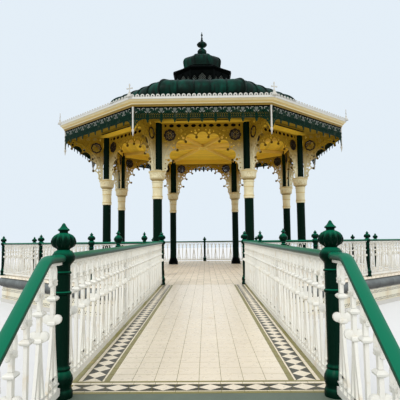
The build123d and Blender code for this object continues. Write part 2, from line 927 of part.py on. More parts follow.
mid_post_line = [
    (mid_post_width / 2, 0),
    (mid_post_width / 2, mid_post_top),
    (mid_post_finial_half, mid_post_finial_height),
    (newel_tip_half, mid_post_height),
]
mid_post_place = bridge_rail_half_width + handrail_width / 2 + seat_clearance + mid_post_width / 2
with BuildPart() as bridge_mid_posts:
    for bay in range(1, bridge_bays):
        distance = rail_apothem + bay * (bridge_near_post - rail_apothem) / bridge_bays
        foot = deck_at(distance - mid_post_width / 2)
        for x in (-mid_post_place, mid_post_place):
            for half, height in mid_post_line:
                with BuildSketch(Plane(origin=(x, -distance, foot + height))):
                    octagon(half)
            loft(ruled=True)
save(bridge_mid_posts.part, "bridge_mid_posts")
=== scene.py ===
"""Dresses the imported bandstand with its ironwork, copper, tiles and paint, and sets up the studio.

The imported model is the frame: metres, the origin on the ground on the axis of the ring of columns,
X to the right of someone who walks in, Y to the far side and Z up.
"""

import math

import bmesh
import bpy
from bpy.props import FloatProperty, FloatVectorProperty, IntProperty, PointerProperty
from mathutils import Matrix, Vector


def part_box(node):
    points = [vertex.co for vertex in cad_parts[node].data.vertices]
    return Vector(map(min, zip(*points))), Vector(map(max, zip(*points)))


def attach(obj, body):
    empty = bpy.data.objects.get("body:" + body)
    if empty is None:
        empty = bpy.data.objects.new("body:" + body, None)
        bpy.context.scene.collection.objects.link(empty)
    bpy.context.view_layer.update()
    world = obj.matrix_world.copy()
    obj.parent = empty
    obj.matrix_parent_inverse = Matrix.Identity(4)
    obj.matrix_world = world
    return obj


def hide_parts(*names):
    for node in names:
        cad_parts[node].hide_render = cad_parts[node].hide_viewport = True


bl_info = {
    "name": "Bandstand",
    "version": (1, 0, 0),
    "blender": (4, 5, 0),
    "location": "View3D > Sidebar > Bandstand",
    "description": "Ironwork, copper, tiles and paint for an eight-sided bandstand",
    "category": "Object",
}

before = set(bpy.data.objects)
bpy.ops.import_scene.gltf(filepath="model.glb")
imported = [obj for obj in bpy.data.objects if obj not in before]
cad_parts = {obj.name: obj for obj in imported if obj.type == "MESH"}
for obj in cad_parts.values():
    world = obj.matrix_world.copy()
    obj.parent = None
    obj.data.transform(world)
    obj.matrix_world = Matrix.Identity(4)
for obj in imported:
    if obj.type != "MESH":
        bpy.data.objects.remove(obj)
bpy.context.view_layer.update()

# Heights are above the floor and distances out from the axis, in metres, unless a comment says otherwise.

# The octagon, the platform and the columns
SIDES = 8
TURN = math.tau / SIDES
HALF_TURN = TURN / 2
FLAT_SHARE = math.cos(HALF_TURN)  # how far a side is out, as a share of its corners
SIDE_SHARE = math.tan(HALF_TURN)  # half a side's length, as a share of how far out it is
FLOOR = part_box("platform_floor")[1].z  # above the ground
FLOOR_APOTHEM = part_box("platform_floor")[1].x
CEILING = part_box("ceiling")[0].z - FLOOR
RING_RADIUS = 4.0
BAY_APOTHEM = RING_RADIUS * FLAT_SHARE
COPING = (7.0, -0.2175)  # the middle of the lead roll
COPING_ROLL = 0.1585
ENTRANCE_HALF = 1.35
CAPITAL_TOP = 3.46

# The castings: an arch has nine foils between eight cusps, on circles round its middle
ARCH_SPRING = 3.618
ARCH_MIDDLE = (0, ARCH_SPRING)
FOIL_TURN = 22.5
CUSPS = tuple(FOIL_TURN * (cusp + 0.5) for cusp in range(4))  # degrees
FOIL_PLACE = 1.0
FOIL_REACH = 0.215
FOIL_SPREAD = 76.8  # degrees, to either side
FRIEZE_BOTTOM = 4.925
CASTING_EDGE = 1.3904
BRACKET_REACH = 5.5307
BATTEN_APOTHEM = 4.36
ROSETTE_PLACE = (1.108, 4.70)
LACE_LOOPS = (  # near and far from the middle, and radius
    (0.526, 1.271, 0.028),
    (0.605, 1.254, 0.045),
    (0.725, 1.224, 0.075),
    (0.862, 1.239, 0.06),
    (0.845, 1.108, 0.046),
)

# The ceiling, the gutter and the valance
SOFFIT_SLOT = 4.15
SOFFIT_EDGE = 5.12
RIB_ENDS = (0.16, 3.855)
BOARD_OUTER = 5.1598
GUTTER_BOTTOM = 5.265
GUTTER_TOP = 5.52
GUTTER_LIP = 5.3388
PENDANT_PLACE = 5.5711
VALANCE_EDGE = 2.0917
VALANCE_UNITS = 10
LATTICE = (4.882, 5.06)

# The roof, as distances of the corners and heights
DOME_LINE = ((3.72, 5.95), (3.89, 6.19), (3.94, 6.41), (3.83, 6.62), (3.56, 6.79), (3.05, 6.92), (1.2, 7.38))
ROLL_PITCH = 0.5695
LOW_ROOF = ((3.44, 5.955), (5.15, 5.457))  # distances of the sides
LANTERN_APOTHEM = 1.2 * FLAT_SHARE
CAP_LINE = ((0.79, 8.33), (0.835, 8.56), (0.81, 8.69), (0.69, 8.8), (0.15, 9.03))

# The railings, the bridge and the stair
RAIL_APOTHEM = 7.02
RAIL_UNDER = 1.06
RAIL_SEAT = 0.0803
BRIDGE_RAIL_X = 1.075
SLIM_POST_X = 1.1583
GIRDER_X = 1.11
TILES_HALF = 1.111
TILES_END = 14.914
BORDER_X = 0.928
END_BORDER = 15.0825
SLATE_RISE = 0.0012
BRIDGE_END = 15.23
NEAR_POST = 15.3
STAIR_KNEE = 15.7
STAIR_POST = 16.9
STAIR_SLOPE = 0.6347  # fall for each metre out
BRIDGE_SLOPE = 0.094 / (BRIDGE_END - FLOOR_APOTHEM)


def tint(code):
    """A colour written as six hexadecimal digits, as the shader takes it."""
    parts = [int(code[place : place + 2], 16) / 255 for place in (0, 2, 4)]
    return tuple(part / 12.92 if part <= 0.04045 else ((part + 0.055) / 1.055) ** 2.4 for part in parts)


def colour_choice(name, description, code):
    """A colour that a user may change."""
    return FloatVectorProperty(
        name=name, description=description, subtype="COLOR", size=3, min=0.0, max=1.0, default=tint(code)
    )


def length_choice(name, description, metres):
    """A length that a user may change."""
    return FloatProperty(name=name, description=description, unit="LENGTH", default=metres, min=metres / 4)


class BandstandColours(bpy.types.PropertyGroup):
    """The colours of the paint, the copper, the tiles and the stone."""

    cream: colour_choice("Cream", "Paint of the capitals and the feet of the castings", "E4DBB6")
    # The casting ochre is painted shade: the castings' cream as it looks in the shade of the eaves, yellowed
    # by a painted reflection of the ochre ceiling.
    shaded_casting_ochre: colour_choice("Casting ochre", "Paint of the castings under the eaves", "9A7A1C")
    ochre: colour_choice("Ochre", "Paint of the ceiling boards", "E4BD3C")
    white: colour_choice("White", "Paint of the railings and the cresting", "E6E4DA")
    stain: colour_choice("Stain", "Rust stain in the hollows of the pale paint", "C2A468")
    column_green: colour_choice("Column green", "Paint of the columns", "03190F")
    newel_green: colour_choice("Newel green", "Paint of the newels", "021C12")
    # The handrail green is the colour of the handrails' upward faces, as painted highlight; their other faces
    # are a darker copy of it, as painted shade.
    handrail_green: colour_choice("Handrail green", "Paint of the handrails", "0E6E50")
    lace_green: colour_choice("Lace green", "Paint of the valance", "08281B")
    # Black paint of the column feet and the lantern; this black also serves as painted shade in the pierced
    # band's holes, under the ring beam, under the lantern's eaves and inside it, on the valance's top rail,
    # under the soffit battens, and in part behind the friezes.
    black: colour_choice("Black", "Paint of the lantern and the column feet", "040706")
    brown: colour_choice("Brown", "Paint of the rosettes and the drops", "20160F")
    copper: colour_choice("Copper", "Weathered copper of the dome", "084638")
    # On the rolls this dark copper is partly painted shade.
    copper_dark: colour_choice("Dark copper", "Copper in the hollows and on the rolls", "071610")
    lead: colour_choice("Lead", "Lead of the coping and the low roof", "6F7472")
    tile_cream: colour_choice("Cream tile", "Tiles of the walking surface", "FAEDD6")
    tile_olive: colour_choice("Olive tile", "Narrow border tiles", "8E8650")
    tile_slate: colour_choice("Slate tile", "Dark border tiles", "33352D")
    masonry: colour_choice("Masonry", "Stone of the platform and the abutment", "B09A72")
    step_stone: colour_choice("Step stone", "Stone of the nosing and the steps", "6C7869")


class BandstandSizes(bpy.types.PropertyGroup):
    """The sizes of the finer parts, in metres."""

    foil_bar: length_choice("Foil bar", "Width of the bars round the cusps of an arch", 0.034)
    rib_bar: length_choice("Arch rib", "Width of the rib behind the cusps", 0.045)
    drop: length_choice("Drop", "Radius of the balls on the cusps", 0.048)
    plank: length_choice("Plank", "Width of a ceiling board with its joint", 0.12)
    plank_joint: length_choice("Plank joint", "Gap between two ceiling boards", 0.008)
    tile: length_choice("Tile", "Pitch of the square tiles", 0.194)
    tile_joint: length_choice("Tile joint", "Gap between two columns of tiles", 0.004)
    cross_joint: length_choice("Cross joint", "Gap between two rows of the bridge's tiles", 0.009)
    cresting_pitch: length_choice("Cresting pitch", "Distance between two loops on the gutter", 0.158)
    railing_pitch: length_choice("Railing pitch", "Distance between two upright bars", 0.205)
    railing_bar: length_choice("Railing bar", "Width of an upright bar", 0.046)
    pillow: length_choice("Pillow", "How far the copper stands out between its rolls", 0.03)
    petals: IntProperty(name="Petals", description="Petals of a rosette", default=8, min=5, max=16)


def colours():
    """The scene's colours for the bandstand."""
    return bpy.context.scene.bandstand_colours


def sizes():
    """The scene's sizes for the bandstand."""
    return bpy.context.scene.bandstand_sizes


# Places


def axes(x_axis, y_axis, z_axis, spot):
    """A matrix from three axes and a place."""
    matrix = Matrix((x_axis, y_axis, z_axis)).transposed().to_4x4()
    matrix.translation = Vector(spot)
    return matrix


def side_place(apothem, side=0):
    """A side of the octagon: x runs along it, y up from the floor and z outwards."""
    angle = TURN * side
    out = Vector((math.sin(angle), -math.cos(angle), 0))
    along = Vector((math.cos(angle), math.sin(angle), 0))
    return axes(along, (0, 0, 1), out, out * apothem + Vector((0, 0, FLOOR)))


def corner_place(radius, corner, height=0.0):
    """A corner of the octagon: x runs outwards and z up."""
    angle = TURN * corner + HALF_TURN
    out = Vector((math.sin(angle), -math.cos(angle), 0))
    return axes(out, (-out.y, out.x, 0), (0, 0, 1), out * radius + Vector((0, 0, FLOOR + height)))


def profile_place(side=0, shift=0.0, corner=False):
    """A cross-section of the roof: x runs outwards, y up from the floor and z along the side."""
    angle = TURN * side + (HALF_TURN if corner else 0)
    out = Vector((math.sin(angle), -math.cos(angle), 0))
    along = Vector((-math.cos(angle), -math.sin(angle), 0))
    return axes(out, (0, 0, 1), along, along * -shift + Vector((0, 0, FLOOR)))


def brackets():
    """The upright planes of the brackets: x runs inwards from the tip to the column."""
    places = []
    for corner in range(SIDES):
        angle = TURN * corner + HALF_TURN
        inwards = Vector((-math.sin(angle), math.cos(angle), 0))
        across = Vector((math.cos(angle), math.sin(angle), 0))
        places.append(axes(inwards, (0, 0, 1), across, inwards * -BRACKET_REACH + Vector((0, 0, FLOOR))))
    return places


def sides(apothem):
    """The places of the eight sides."""
    return [side_place(apothem, side) for side in range(SIDES)]


def corners(radius, height=0.0):
    """The places of the eight corners."""
    return [corner_place(radius, corner, height) for corner in range(SIDES)]


def hips():
    """The cross-sections of the roof at its eight corners."""
    return [profile_place(corner, corner=True) for corner in range(SIDES)]


def half_bays():
    """The two halves of each bay between the columns."""
    return [place @ half for place in sides(BAY_APOTHEM) for half in (Matrix(), MIRROR)]


def deck_at(distance):
    """The height of the bridge's walking surface at a distance out from the axis."""
    return FLOOR - BRIDGE_SLOPE * (distance - FLOOR_APOTHEM)


def bridge_place(x, distance, slope=0.0):
    """An upright plane along the bridge: x runs out from the platform and falls with a slope."""
    return axes((0, -1, -slope), (0, 0, 1), (-1, 0, 0), (x, -distance, deck_at(distance)))


def spot(x, y, z=0.0):
    """A shift to a point."""
    return Matrix.Translation((x, y, z))


MIRROR = Matrix.Scale(-1, 4, (1, 0, 0))


# Lines in a plane


def arc(centre, radius, start, end, steps):
    """Points on an arc, from one angle in degrees to another."""
    angles = [math.radians(start + (end - start) * step / steps) for step in range(steps + 1)]
    return [(centre[0] + radius * math.cos(angle), centre[1] + radius * math.sin(angle)) for angle in angles]


def circle(centre, radius, steps):
    """Points round a circle."""
    return arc(centre, radius, 0, 360, steps)[:-1]


def smooth_line(points, steps):
    """A line drawn smoothly through points."""
    ends = [points[0], *points, points[-1]]
    line = []
    for before, here, after, beyond in zip(ends, ends[1:], ends[2:], ends[3:]):
        for step in range(steps):
            t = step / steps
            point = []
            for a, b, c, d in zip(before, here, after, beyond):
                bend = (2 * a - 5 * b + 4 * c - d) * t**2 + (3 * b - a - 3 * c + d) * t**3
                point.append(0.5 * (2 * b + (c - a) * t + bend))
            line.append(tuple(point))
    return line + [tuple(points[-1])]


def clipped(start, end, outline):
    """The part of a straight line inside an outline that bulges everywhere, or nothing."""
    low, high = 0.0, 1.0
    heading = Vector(end) - Vector(start)
    for here, after in zip(outline, outline[1:] + outline[:1]):
        edge = Vector(after) - Vector(here)
        inwards = Vector((-edge.y, edge.x))
        pace = heading.dot(inwards)
        depth = (Vector(start) - Vector(here)).dot(inwards)
        if abs(pace) < 1e-9:
            if depth < 0:
                return None
        elif pace > 0:
            low = max(low, -depth / pace)
        else:
            high = min(high, -depth / pace)
    if high - low < 0.02:
        return None
    return [tuple(Vector(start) + heading * low), tuple(Vector(start) + heading * high)]


# Cross-sections of a bar, as shares of half its width and half its depth

FLAT_BAR = ((1, 1), (-1, 1), (-1, -1), (1, -1))
MOULDED_BAR = ((1, 0.3), (0.45, 1), (-0.45, 1), (-1, 0.3), (-1, -0.3), (-0.45, -1), (0.45, -1), (1, -0.3))
KNIFE_BAR = ((1, 0), (0, 1), (-1, 0), (0, -1))
ROUND_BAR = ((1, 0), (0.71, 0.71), (0, 1), (-0.71, 0.71), (-1, 0), (-0.71, -0.71), (0, -1), (0.71, -0.71))


class Shape:
    """The points and faces of one piece, gathered before they become a mesh."""

    def __init__(self):
        self.points = []
        self.faces = []

    def add(self, points, faces):
        """Adds points and the faces between them."""
        start = len(self.points)
        self.points.extend(Vector(point) for point in points)
        self.faces.extend(tuple(start + corner for corner in face) for face in faces)
        return self

    def place(self, other, *matrices):
        """Adds copies of another shape, one at each matrix, or one where it is."""
        for matrix in matrices or (Matrix(),):
            self.add([matrix @ point for point in other.points], other.faces)
        return self

    def loft(self, rings, closed=False):
        """Skins rings of the same number of points. An open loft gets end faces."""
        count = len(rings[0])
        faces = []
        for here in range(len(rings) if closed else len(rings) - 1):
            after = (here + 1) % len(rings)
            for corner in range(count):
                beside = (corner + 1) % count
                low, high = here * count, after * count
                faces.append((low + corner, low + beside, high + beside, high + corner))
        if not closed:
            faces.append(tuple(reversed(range(count))))
            faces.append(tuple(range((len(rings) - 1) * count, len(rings) * count)))
        return self.add([point for ring in rings for point in ring], faces)

    def strip(self, path, width, depth, section=FLAT_BAR, closed=False, lift=0.0):
        """A bar that follows a line in the plane, with mitred bends."""
        path = [Vector((x, y, lift)) for x, y in path]
        rings = []
        for index, point in enumerate(path):
            before = path[index - 1] if index or closed else None
            after = path[(index + 1) % len(path)] if index < len(path) - 1 or closed else None
            arriving = (point - before).normalized() if before else (after - point).normalized()
            leaving = (after - point).normalized() if after else arriving
            heading = (arriving + leaving).normalized()
            stretch = 1 / max(heading.dot(leaving), 0.4)
            beside = Vector((heading.y, -heading.x, 0)) * (width / 2 * stretch)
            rings.append([point + beside * a + Vector((0, 0, depth / 2 * b)) for a, b in section])
        return self.loft(rings, closed)

    def ring(self, centre, radius, width, depth, steps=14, section=KNIFE_BAR):
        """A round loop of bar in the plane."""
        return self.strip(circle(centre, radius, steps), width, depth, section, closed=True)

    def stack(self, rows, x=0.0, z=0.0):
        """A square-sided upright from rows of half width, half depth and height."""
        square = ((-1, -1), (1, -1), (1, 1), (-1, 1))
        return self.loft([[(x + a * wide, y, z + b * deep) for a, b in square] for wide, deep, y in rows])

    def lathe(self, profile, count, place=Matrix(), lobes=0):
        """Turns rows of radius, height and, if given, depth of lobes about the z axis."""
        rings = []
        for radius, height, *depth in profile:
            ring = []
            for step in range(count):
                angle = math.tau * (step + 0.5) / count
                cut = depth[0] * (1 - abs(math.sin(lobes * angle / 2))) if depth else 0
                reach = radius * (1 - cut)
                ring.append(place @ Vector((reach * math.cos(angle), reach * math.sin(angle), height)))
            rings.append(ring)
        return self.loft(rings)

    def ball(self, centre, radius, count=10, rows=6):
        """A round knob in the plane."""
        return self.lathe(arc((0, 0), radius, -80, 80, rows), count, spot(*centre))

    def eight(self, rows):
        """An eight-sided form from rows of corner radius and height above the floor."""
        return self.loft([[place.translation for place in corners(*row)] for row in rows])

    def around(self, section):
        """Runs a closed cross-section of apothems and heights above the floor round the eight sides."""
        points = [Vector((apothem / FLAT_SHARE, 0, height)) for apothem, height in section]
        return self.loft([[place @ point for point in points] for place in corners(0)], closed=True)

    def piece(self, name, paint, slot, *replaces, sharp=35.0):
        """Makes the object with its finish, and hides the nodes that it stands for. The slot is not used."""
        mesh = bpy.data.meshes.new(name)
        mesh.from_pydata(self.points, [], self.faces)
        work = bmesh.new()
        work.from_mesh(mesh)
        bmesh.ops.remove_doubles(work, verts=work.verts, dist=1e-6)
        bmesh.ops.recalc_face_normals(work, faces=work.faces)
        work.to_mesh(mesh)
        work.free()
        mesh.shade_smooth()
        mesh.set_sharp_from_angle(angle=math.radians(sharp))
        mesh.materials.append(made(paint))
        obj = bpy.data.objects.new(name, mesh)
        bpy.context.scene.collection.objects.link(obj)
        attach(obj, "root")
        if replaces:
            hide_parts(*replaces)


def plate(outlines, thickness, bevel=0.0):
    """A flat plate with holes: the first outline is its edge and the others are pierced."""
    drawing = bpy.data.curves.new("plate", "CURVE")
    drawing.dimensions = "2D"
    drawing.fill_mode = "BOTH"
    drawing.extrude = thickness / 2 - bevel
    drawing.bevel_depth = bevel
    drawing.bevel_resolution = 0
    drawing.offset = -bevel
    for outline in outlines:
        spline = drawing.splines.new("POLY")
        spline.points.add(len(outline) - 1)
        for point, (x, y) in zip(spline.points, outline):
            point.co = (x, y, 0, 1)
        spline.use_cyclic_u = True
    holder = bpy.data.objects.new("plate", drawing)
    bpy.context.scene.collection.objects.link(holder)
    mesh = bpy.data.meshes.new_from_object(holder.evaluated_get(bpy.context.evaluated_depsgraph_get()))
    faces = [tuple(face.vertices) for face in mesh.polygons]
    shape = Shape().add([vertex.co for vertex in mesh.vertices], faces)
    bpy.data.objects.remove(holder)
    bpy.data.curves.remove(drawing)
    bpy.data.meshes.remove(mesh)
    return shape


# Finishes


def both_ways(operation):
    """An operator and its reflected form, each of which adds one Math node."""
    return (
        lambda self, other: self.maths(operation, self, other),
        lambda self, other: self.maths(operation, other, self),
    )


class Flow:
    """A value on its way through a material. Arithmetic on it adds Math nodes."""

    def __init__(self, nodes, socket):
        self.nodes = nodes
        self.socket = socket

    def maths(self, operation, *values):
        """One Math node on values."""
        return self.nodes.node("ShaderNodeMath", {"operation": operation}, dict(enumerate(values)))

    __add__, __radd__ = both_ways("ADD")
    __sub__, __rsub__ = both_ways("SUBTRACT")
    __mul__, __rmul__ = both_ways("MULTIPLY")
    __truediv__, __rtruediv__ = both_ways("DIVIDE")
    __pow__, __rpow__ = both_ways("POWER")
    __lt__, __gt__ = both_ways("LESS_THAN")[0], both_ways("GREATER_THAN")[0]

    def __abs__(self):
        return self.maths("ABSOLUTE", self)

    def fraction(self):
        """The part of the value above the whole number below it."""
        return self.maths("FRACT", self)

    def whole(self):
        """The whole number below the value."""
        return self.maths("FLOOR", self)

    def clamp(self):
        """The value, kept between nothing and one."""
        return self.maths("MINIMUM", self.maths("MAXIMUM", self, 0.0), 1.0)


class Nodes:
    """A tree of shader nodes."""

    def __init__(self, tree):
        self.tree = tree

    def node(self, kind, settings=None, sockets=None, output=0):
        """A node of a type, with its settings set first and then its sockets' values or links."""
        node = self.tree.nodes.new(kind)
        for key, setting in (settings or {}).items():
            setattr(node, key, setting)
        for key, value in (sockets or {}).items():
            self.feed(node.inputs[key], value)
        return Flow(self, node.outputs[output])

    def feed(self, socket, value):
        """Links a value to a socket, or sets it there."""
        if isinstance(value, Flow):
            self.tree.links.new(value.socket, socket)
        elif socket.type == "RGBA":
            socket.default_value = tuple(value)[:3] + (1.0,)
        else:
            socket.default_value = value


class Finish(Nodes):
    """One material, built from nodes round its shader."""

    def __init__(self, name, roughness=0.5, metallic=0.0, gloss=0.4):
        self.material = bpy.data.materials.new(name)
        self.material.use_nodes = True
        super().__init__(self.material.node_tree)
        self.shader = self.tree.nodes["Principled BSDF"]
        constants = {"Roughness": roughness, "Metallic": metallic, "Specular IOR Level": gloss}
        for socket, value in constants.items():
            self.shader.inputs[socket].default_value = value

    def place(self, stretch=None):
        """The place on the object in metres, stretched if asked."""
        here = self.node("ShaderNodeTexCoord", output="Object")
        if stretch:
            here = self.node("ShaderNodeVectorMath", {"operation": "MULTIPLY"}, {0: here, 1: stretch})
        return here

    def parts(self, vector):
        """The x, y and z of a vector."""
        return [self.node("ShaderNodeSeparateXYZ", {}, {0: vector}, axis) for axis in range(3)]

    def height(self):
        """The height above the floor."""
        return self.parts(self.place())[2] - FLOOR

    def facing(self, kind="Normal"):
        """The x, y and z of the way the surface faces."""
        return self.parts(self.node("ShaderNodeNewGeometry", output=kind))

    def noise(self, scale, detail=4.0, rough=0.55, stretch=None):
        """Soft cloudy noise."""
        sockets = {"Vector": self.place(stretch), "Scale": scale, "Detail": detail, "Roughness": rough}
        return self.node("ShaderNodeTexNoise", {}, sockets, "Fac")

    def mix(self, share, first, second):
        """A colour between two colours."""
        return self.node("ShaderNodeMix", {"data_type": "RGBA"}, {0: share, 6: first, 7: second}, 2)

    def step(self, value, low, high):
        """How far a value is between two others, from nothing to one, smoothly."""
        settings = {"interpolation_type": "SMOOTHSTEP"}
        return self.node("ShaderNodeMapRange", settings, {0: value, 1: low, 2: high})

    def patches(self, low, high, *noise):
        """Patches where a noise rises from a low value to a high one."""
        return self.step(self.noise(*noise), low, high)

    def band(self, value, low, start, end, high):
        """One between a start and an end, and nothing under a low value and over a high one."""
        return self.step(value, low, start) * (1 - self.step(value, end, high))

    def colour(self, value):
        """Sends a colour to the shader."""
        self.feed(self.shader.inputs["Base Color"], value)

    def rough(self, value):
        """Sends a varying roughness to the shader."""
        self.feed(self.shader.inputs["Roughness"], value)

    def bump(self, height, distance, strength=1.0):
        """Sends a height to the shader as a bump."""
        sockets = {"Height": height, "Distance": distance, "Strength": strength}
        self.feed(self.shader.inputs["Normal"], self.node("ShaderNodeBump", {}, sockets))


def shade(colour, share):
    """A darker or lighter version of a colour."""
    return tuple(min(1.0, part * share) for part in tuple(colour)[:3])


def blended(first, second, share):
    """A colour part of the way between two colours."""
    return tuple(a + (b - a) * share for a, b in zip(tuple(first)[:3], tuple(second)[:3]))


def brushed_paint(name, colour, roughness, stain, stained=0.0, gloss=0.4):
    """Brush-painted iron: an uneven tone, a gloss that varies and stains where it has a share of them."""
    finish = Finish(name, roughness, gloss=gloss)
    tone = finish.mix(finish.noise(1.3, 3.0), shade(colour, 0.86), shade(colour, 1.08))
    if stained:
        tone = finish.mix(finish.patches(0.52, 0.74, 6.5, 7.0, 0.68) * stained, tone, stain)
    grain = finish.noise(38.0, 5.0, stretch=(1.0, 1.0, 0.35))
    finish.colour(tone)
    finish.rough(roughness + (grain - 0.5) * 0.22)
    finish.bump(grain, 0.0015, 0.3)


def paint_with_painted_toplight(name, colour, pale, roughness, gloss, low=-0.15, high=0.75):
    """Dark paint with a painted highlight: it grows paler as its faces turn up, from a low slant to a high
    one.
    """
    finish = Finish(name, roughness, gloss=gloss)
    grain = finish.noise(38.0, 5.0, stretch=(1.0, 1.0, 0.35))
    up = finish.facing()[2] + (grain - 0.5) * 0.15
    finish.colour(finish.mix(finish.step(up, low, high), colour, pale))
    finish.rough(roughness + (grain - 0.5) * 0.2)
    finish.bump(grain, 0.0015, 0.3)


def make_finishes():
    """Makes the painted, metal and stone finishes, by name."""
    c = colours()
    brushed_paint("white paint", c.white, 0.36, c.stain, 0.4)
    brushed_paint("column green paint", c.column_green, 0.3, None, gloss=0.04)
    brushed_paint("lace green paint", c.lace_green, 0.36, blended(c.lace_green, c.cream, 0.25), 0.3, 0.05)
    brushed_paint("palm paint", blended(c.lace_green, c.white, 0.14), 0.4, c.lace_green, 0.6, 0.2)
    # Tip paint: partly the pale paint of the scroll tips, partly painted highlight on them.
    brushed_paint("tip paint", blended(c.lace_green, c.white, 0.62), 0.4, c.lace_green, 0.3, 0.2)
    brushed_paint("black paint", c.black, 0.45, shade(c.copper, 0.12), 0.3, 0.02)
    brushed_paint("brown paint", c.brown, 0.32, blended(c.brown, c.ochre, 0.3), 0.5, 0.2)
    brushed_paint("drop paint", blended(c.brown, c.shaded_casting_ochre, 0.35), 0.6, c.brown, 0.7, 0.1)
    # Painted shade: the cresting, the crosses and the pendants take the white darkened to about seven tenths.
    brushed_paint("crest white in painted shade", shade(c.white, 0.69), 0.4, c.stain, 0.3)
    # Painted light: the newels and the handrails grow paler on their upward faces. The newels' tops blend
    # towards the handrail green as painted highlight; the handrails' other faces take a fifth of it as
    # painted shade.
    newel_painted_highlight = blended(c.newel_green, c.handrail_green, 0.8)
    paint_with_painted_toplight("newel green paint", c.newel_green, newel_painted_highlight, 0.26, 0.035, 0.12, 0.95)
    paint_with_painted_toplight("handrail green paint", shade(c.handrail_green, 0.22), c.handrail_green, 0.34, 0.1)
    casting_paint("casting paint")
    ochre_paint("ochre paint")
    # The ribs' paler ochre is a painted highlight, for the light along their lower edges.
    ochre_paint("rib highlight paint", 0.16)
    beam_paint("beam paint")
    gutter_paint("gutter paint")
    capital_paint("capital paint")
    copper("copper sheet")
    # The rolls, the cap and the finial take more dark copper; on the dome's rolls this is partly painted
    # shade, for the dark lines that their shadows make.
    copper("copper roll", 0.4)
    lead("lead")
    lead("coping lead", roll=True)
    lead("low roof lead", shade(c.lace_green, 0.6))
    tile("cream tile", c.tile_cream, 0.3)
    tile("olive tile", c.tile_olive, 0.35)
    tile("slate tile", c.tile_slate, 0.35)
    floor_tiles("floor tiles")
    grout("grout")
    masonry("masonry")
    pierced_band("pierced band")
    step_stone("step stone")


def casting_paint(name):
    """The castings: cream at the foot, turning to ochre under the eaves as painted shade with a painted ochre
    reflection of the ceiling, with stained patches.
    """
    c = colours()
    finish = Finish(name, 0.6, gloss=0.1)
    # Painted shade: the castings turn from cream to the shaded ochre as they rise into the eaves.
    under = finish.step(finish.height() + finish.noise(2.0) * 0.4, 3.9, 4.85)
    tone = finish.mix(under, c.cream, c.shaded_casting_ochre)
    stains = finish.patches(0.5, 0.72, 7.0, 7.0, 0.68)
    finish.colour(finish.mix(stains * 0.5, tone, shade(c.shaded_casting_ochre, 0.7)))
    grain = finish.noise(38.0, 5.0)
    finish.rough(0.5 + grain * 0.2)
    finish.bump(grain, 0.0015, 0.3)


def ochre_paint(name, pale=0.0):
    """Boards painted ochre, each of its own tone, with dull patches and grain, and painted shade that makes
    them darkest in the eaves.
    """
    c = colours()
    # A pale share lightens the ochre towards cream; on the ribs it is a painted highlight.
    ochre = blended(c.ochre, c.cream, pale)
    finish = Finish(name, 0.8, gloss=0.05)
    chance = finish.node("ShaderNodeNewGeometry", output="Random Per Island")
    tone = finish.mix(chance, shade(ochre, 0.84), shade(ochre, 1.18))
    tone = finish.mix(finish.patches(0.42, 0.62, 0.8, 5.0, 0.6) * 0.35, tone, shade(ochre, 0.78))
    x, y, _ = finish.parts(finish.place())
    # Painted shade: boards out beyond the columns, under the eaves, darken towards a third of the ochre.
    eaves = finish.step((x * x + y * y) ** 0.5, 4.1, 4.4)
    tone = finish.mix(eaves, tone, shade(c.ochre, 0.33))
    streaks = finish.patches(0.5, 0.72, 3.2, 8.0, 0.7, (1.0, 1.0, 4.0))
    finish.colour(finish.mix(streaks * 0.3, tone, blended(ochre, c.brown, 0.45)))
    grain = finish.noise(60.0, 6.0)
    finish.rough(0.7 + grain * 0.2)
    finish.bump(grain, 0.001, 0.35)


def beam_paint(name):
    """The ring beam: ochre inside, black on its outer face behind the castings, partly dark paint and partly
    painted shade, and black underneath as painted shade.
    """
    c = colours()
    finish = Finish(name, 0.5, gloss=0.15)
    x, y, _ = finish.parts(finish.place())
    normal = finish.facing()
    out = (x * normal[0] + y * normal[1]) / (x * x + y * y) ** 0.5
    # Painted shade: black on the faces turned down; the faces turned outwards are black too, partly dark
    # paint and partly painted shade.
    dark = (out > 0.5) + (normal[2] < -0.5)
    tone = finish.mix(finish.noise(1.4), shade(c.ochre, 0.8), shade(c.ochre, 1.1))
    finish.colour(finish.mix(dark.clamp(), tone, c.black))
    finish.bump(finish.noise(50.0), 0.001, 0.3)


def gutter_paint(name):
    """The gutter: a white lip darkened as painted shade, cream mouldings, a tan band and a dull ochre foot,
    partly its own olive-tan paint and partly painted shade.
    """
    c = colours()
    finish = Finish(name, 0.38)
    height = finish.height()
    tan = finish.band(height, 5.35, 5.357, 5.4, 5.407) + finish.band(height, 5.437, 5.441, 5.448, 5.452)
    stains = finish.patches(0.5, 0.75, 3.0, 6.0, 0.65)
    tone = finish.mix(stains * 0.5, blended(c.cream, c.ochre, 0.12), blended(c.cream, c.stain, 0.5))
    tone = finish.mix(tan.clamp() * 0.85, tone, blended(c.stain, c.ochre, 0.25))
    # Painted shade: the white lip takes the white paint darkened to three quarters.
    tone = finish.mix(finish.step(height, 5.45, 5.458), tone, shade(c.white, 0.75))
    # The foot is the castings' shaded ochre, darker still: partly its own olive-tan paint, partly painted
    # shade under the mouldings.
    finish.colour(finish.mix(1 - finish.step(height, 5.326, 5.334), tone, shade(c.shaded_casting_ochre, 0.75)))
    finish.bump(finish.noise(30.0), 0.0015, 0.3)


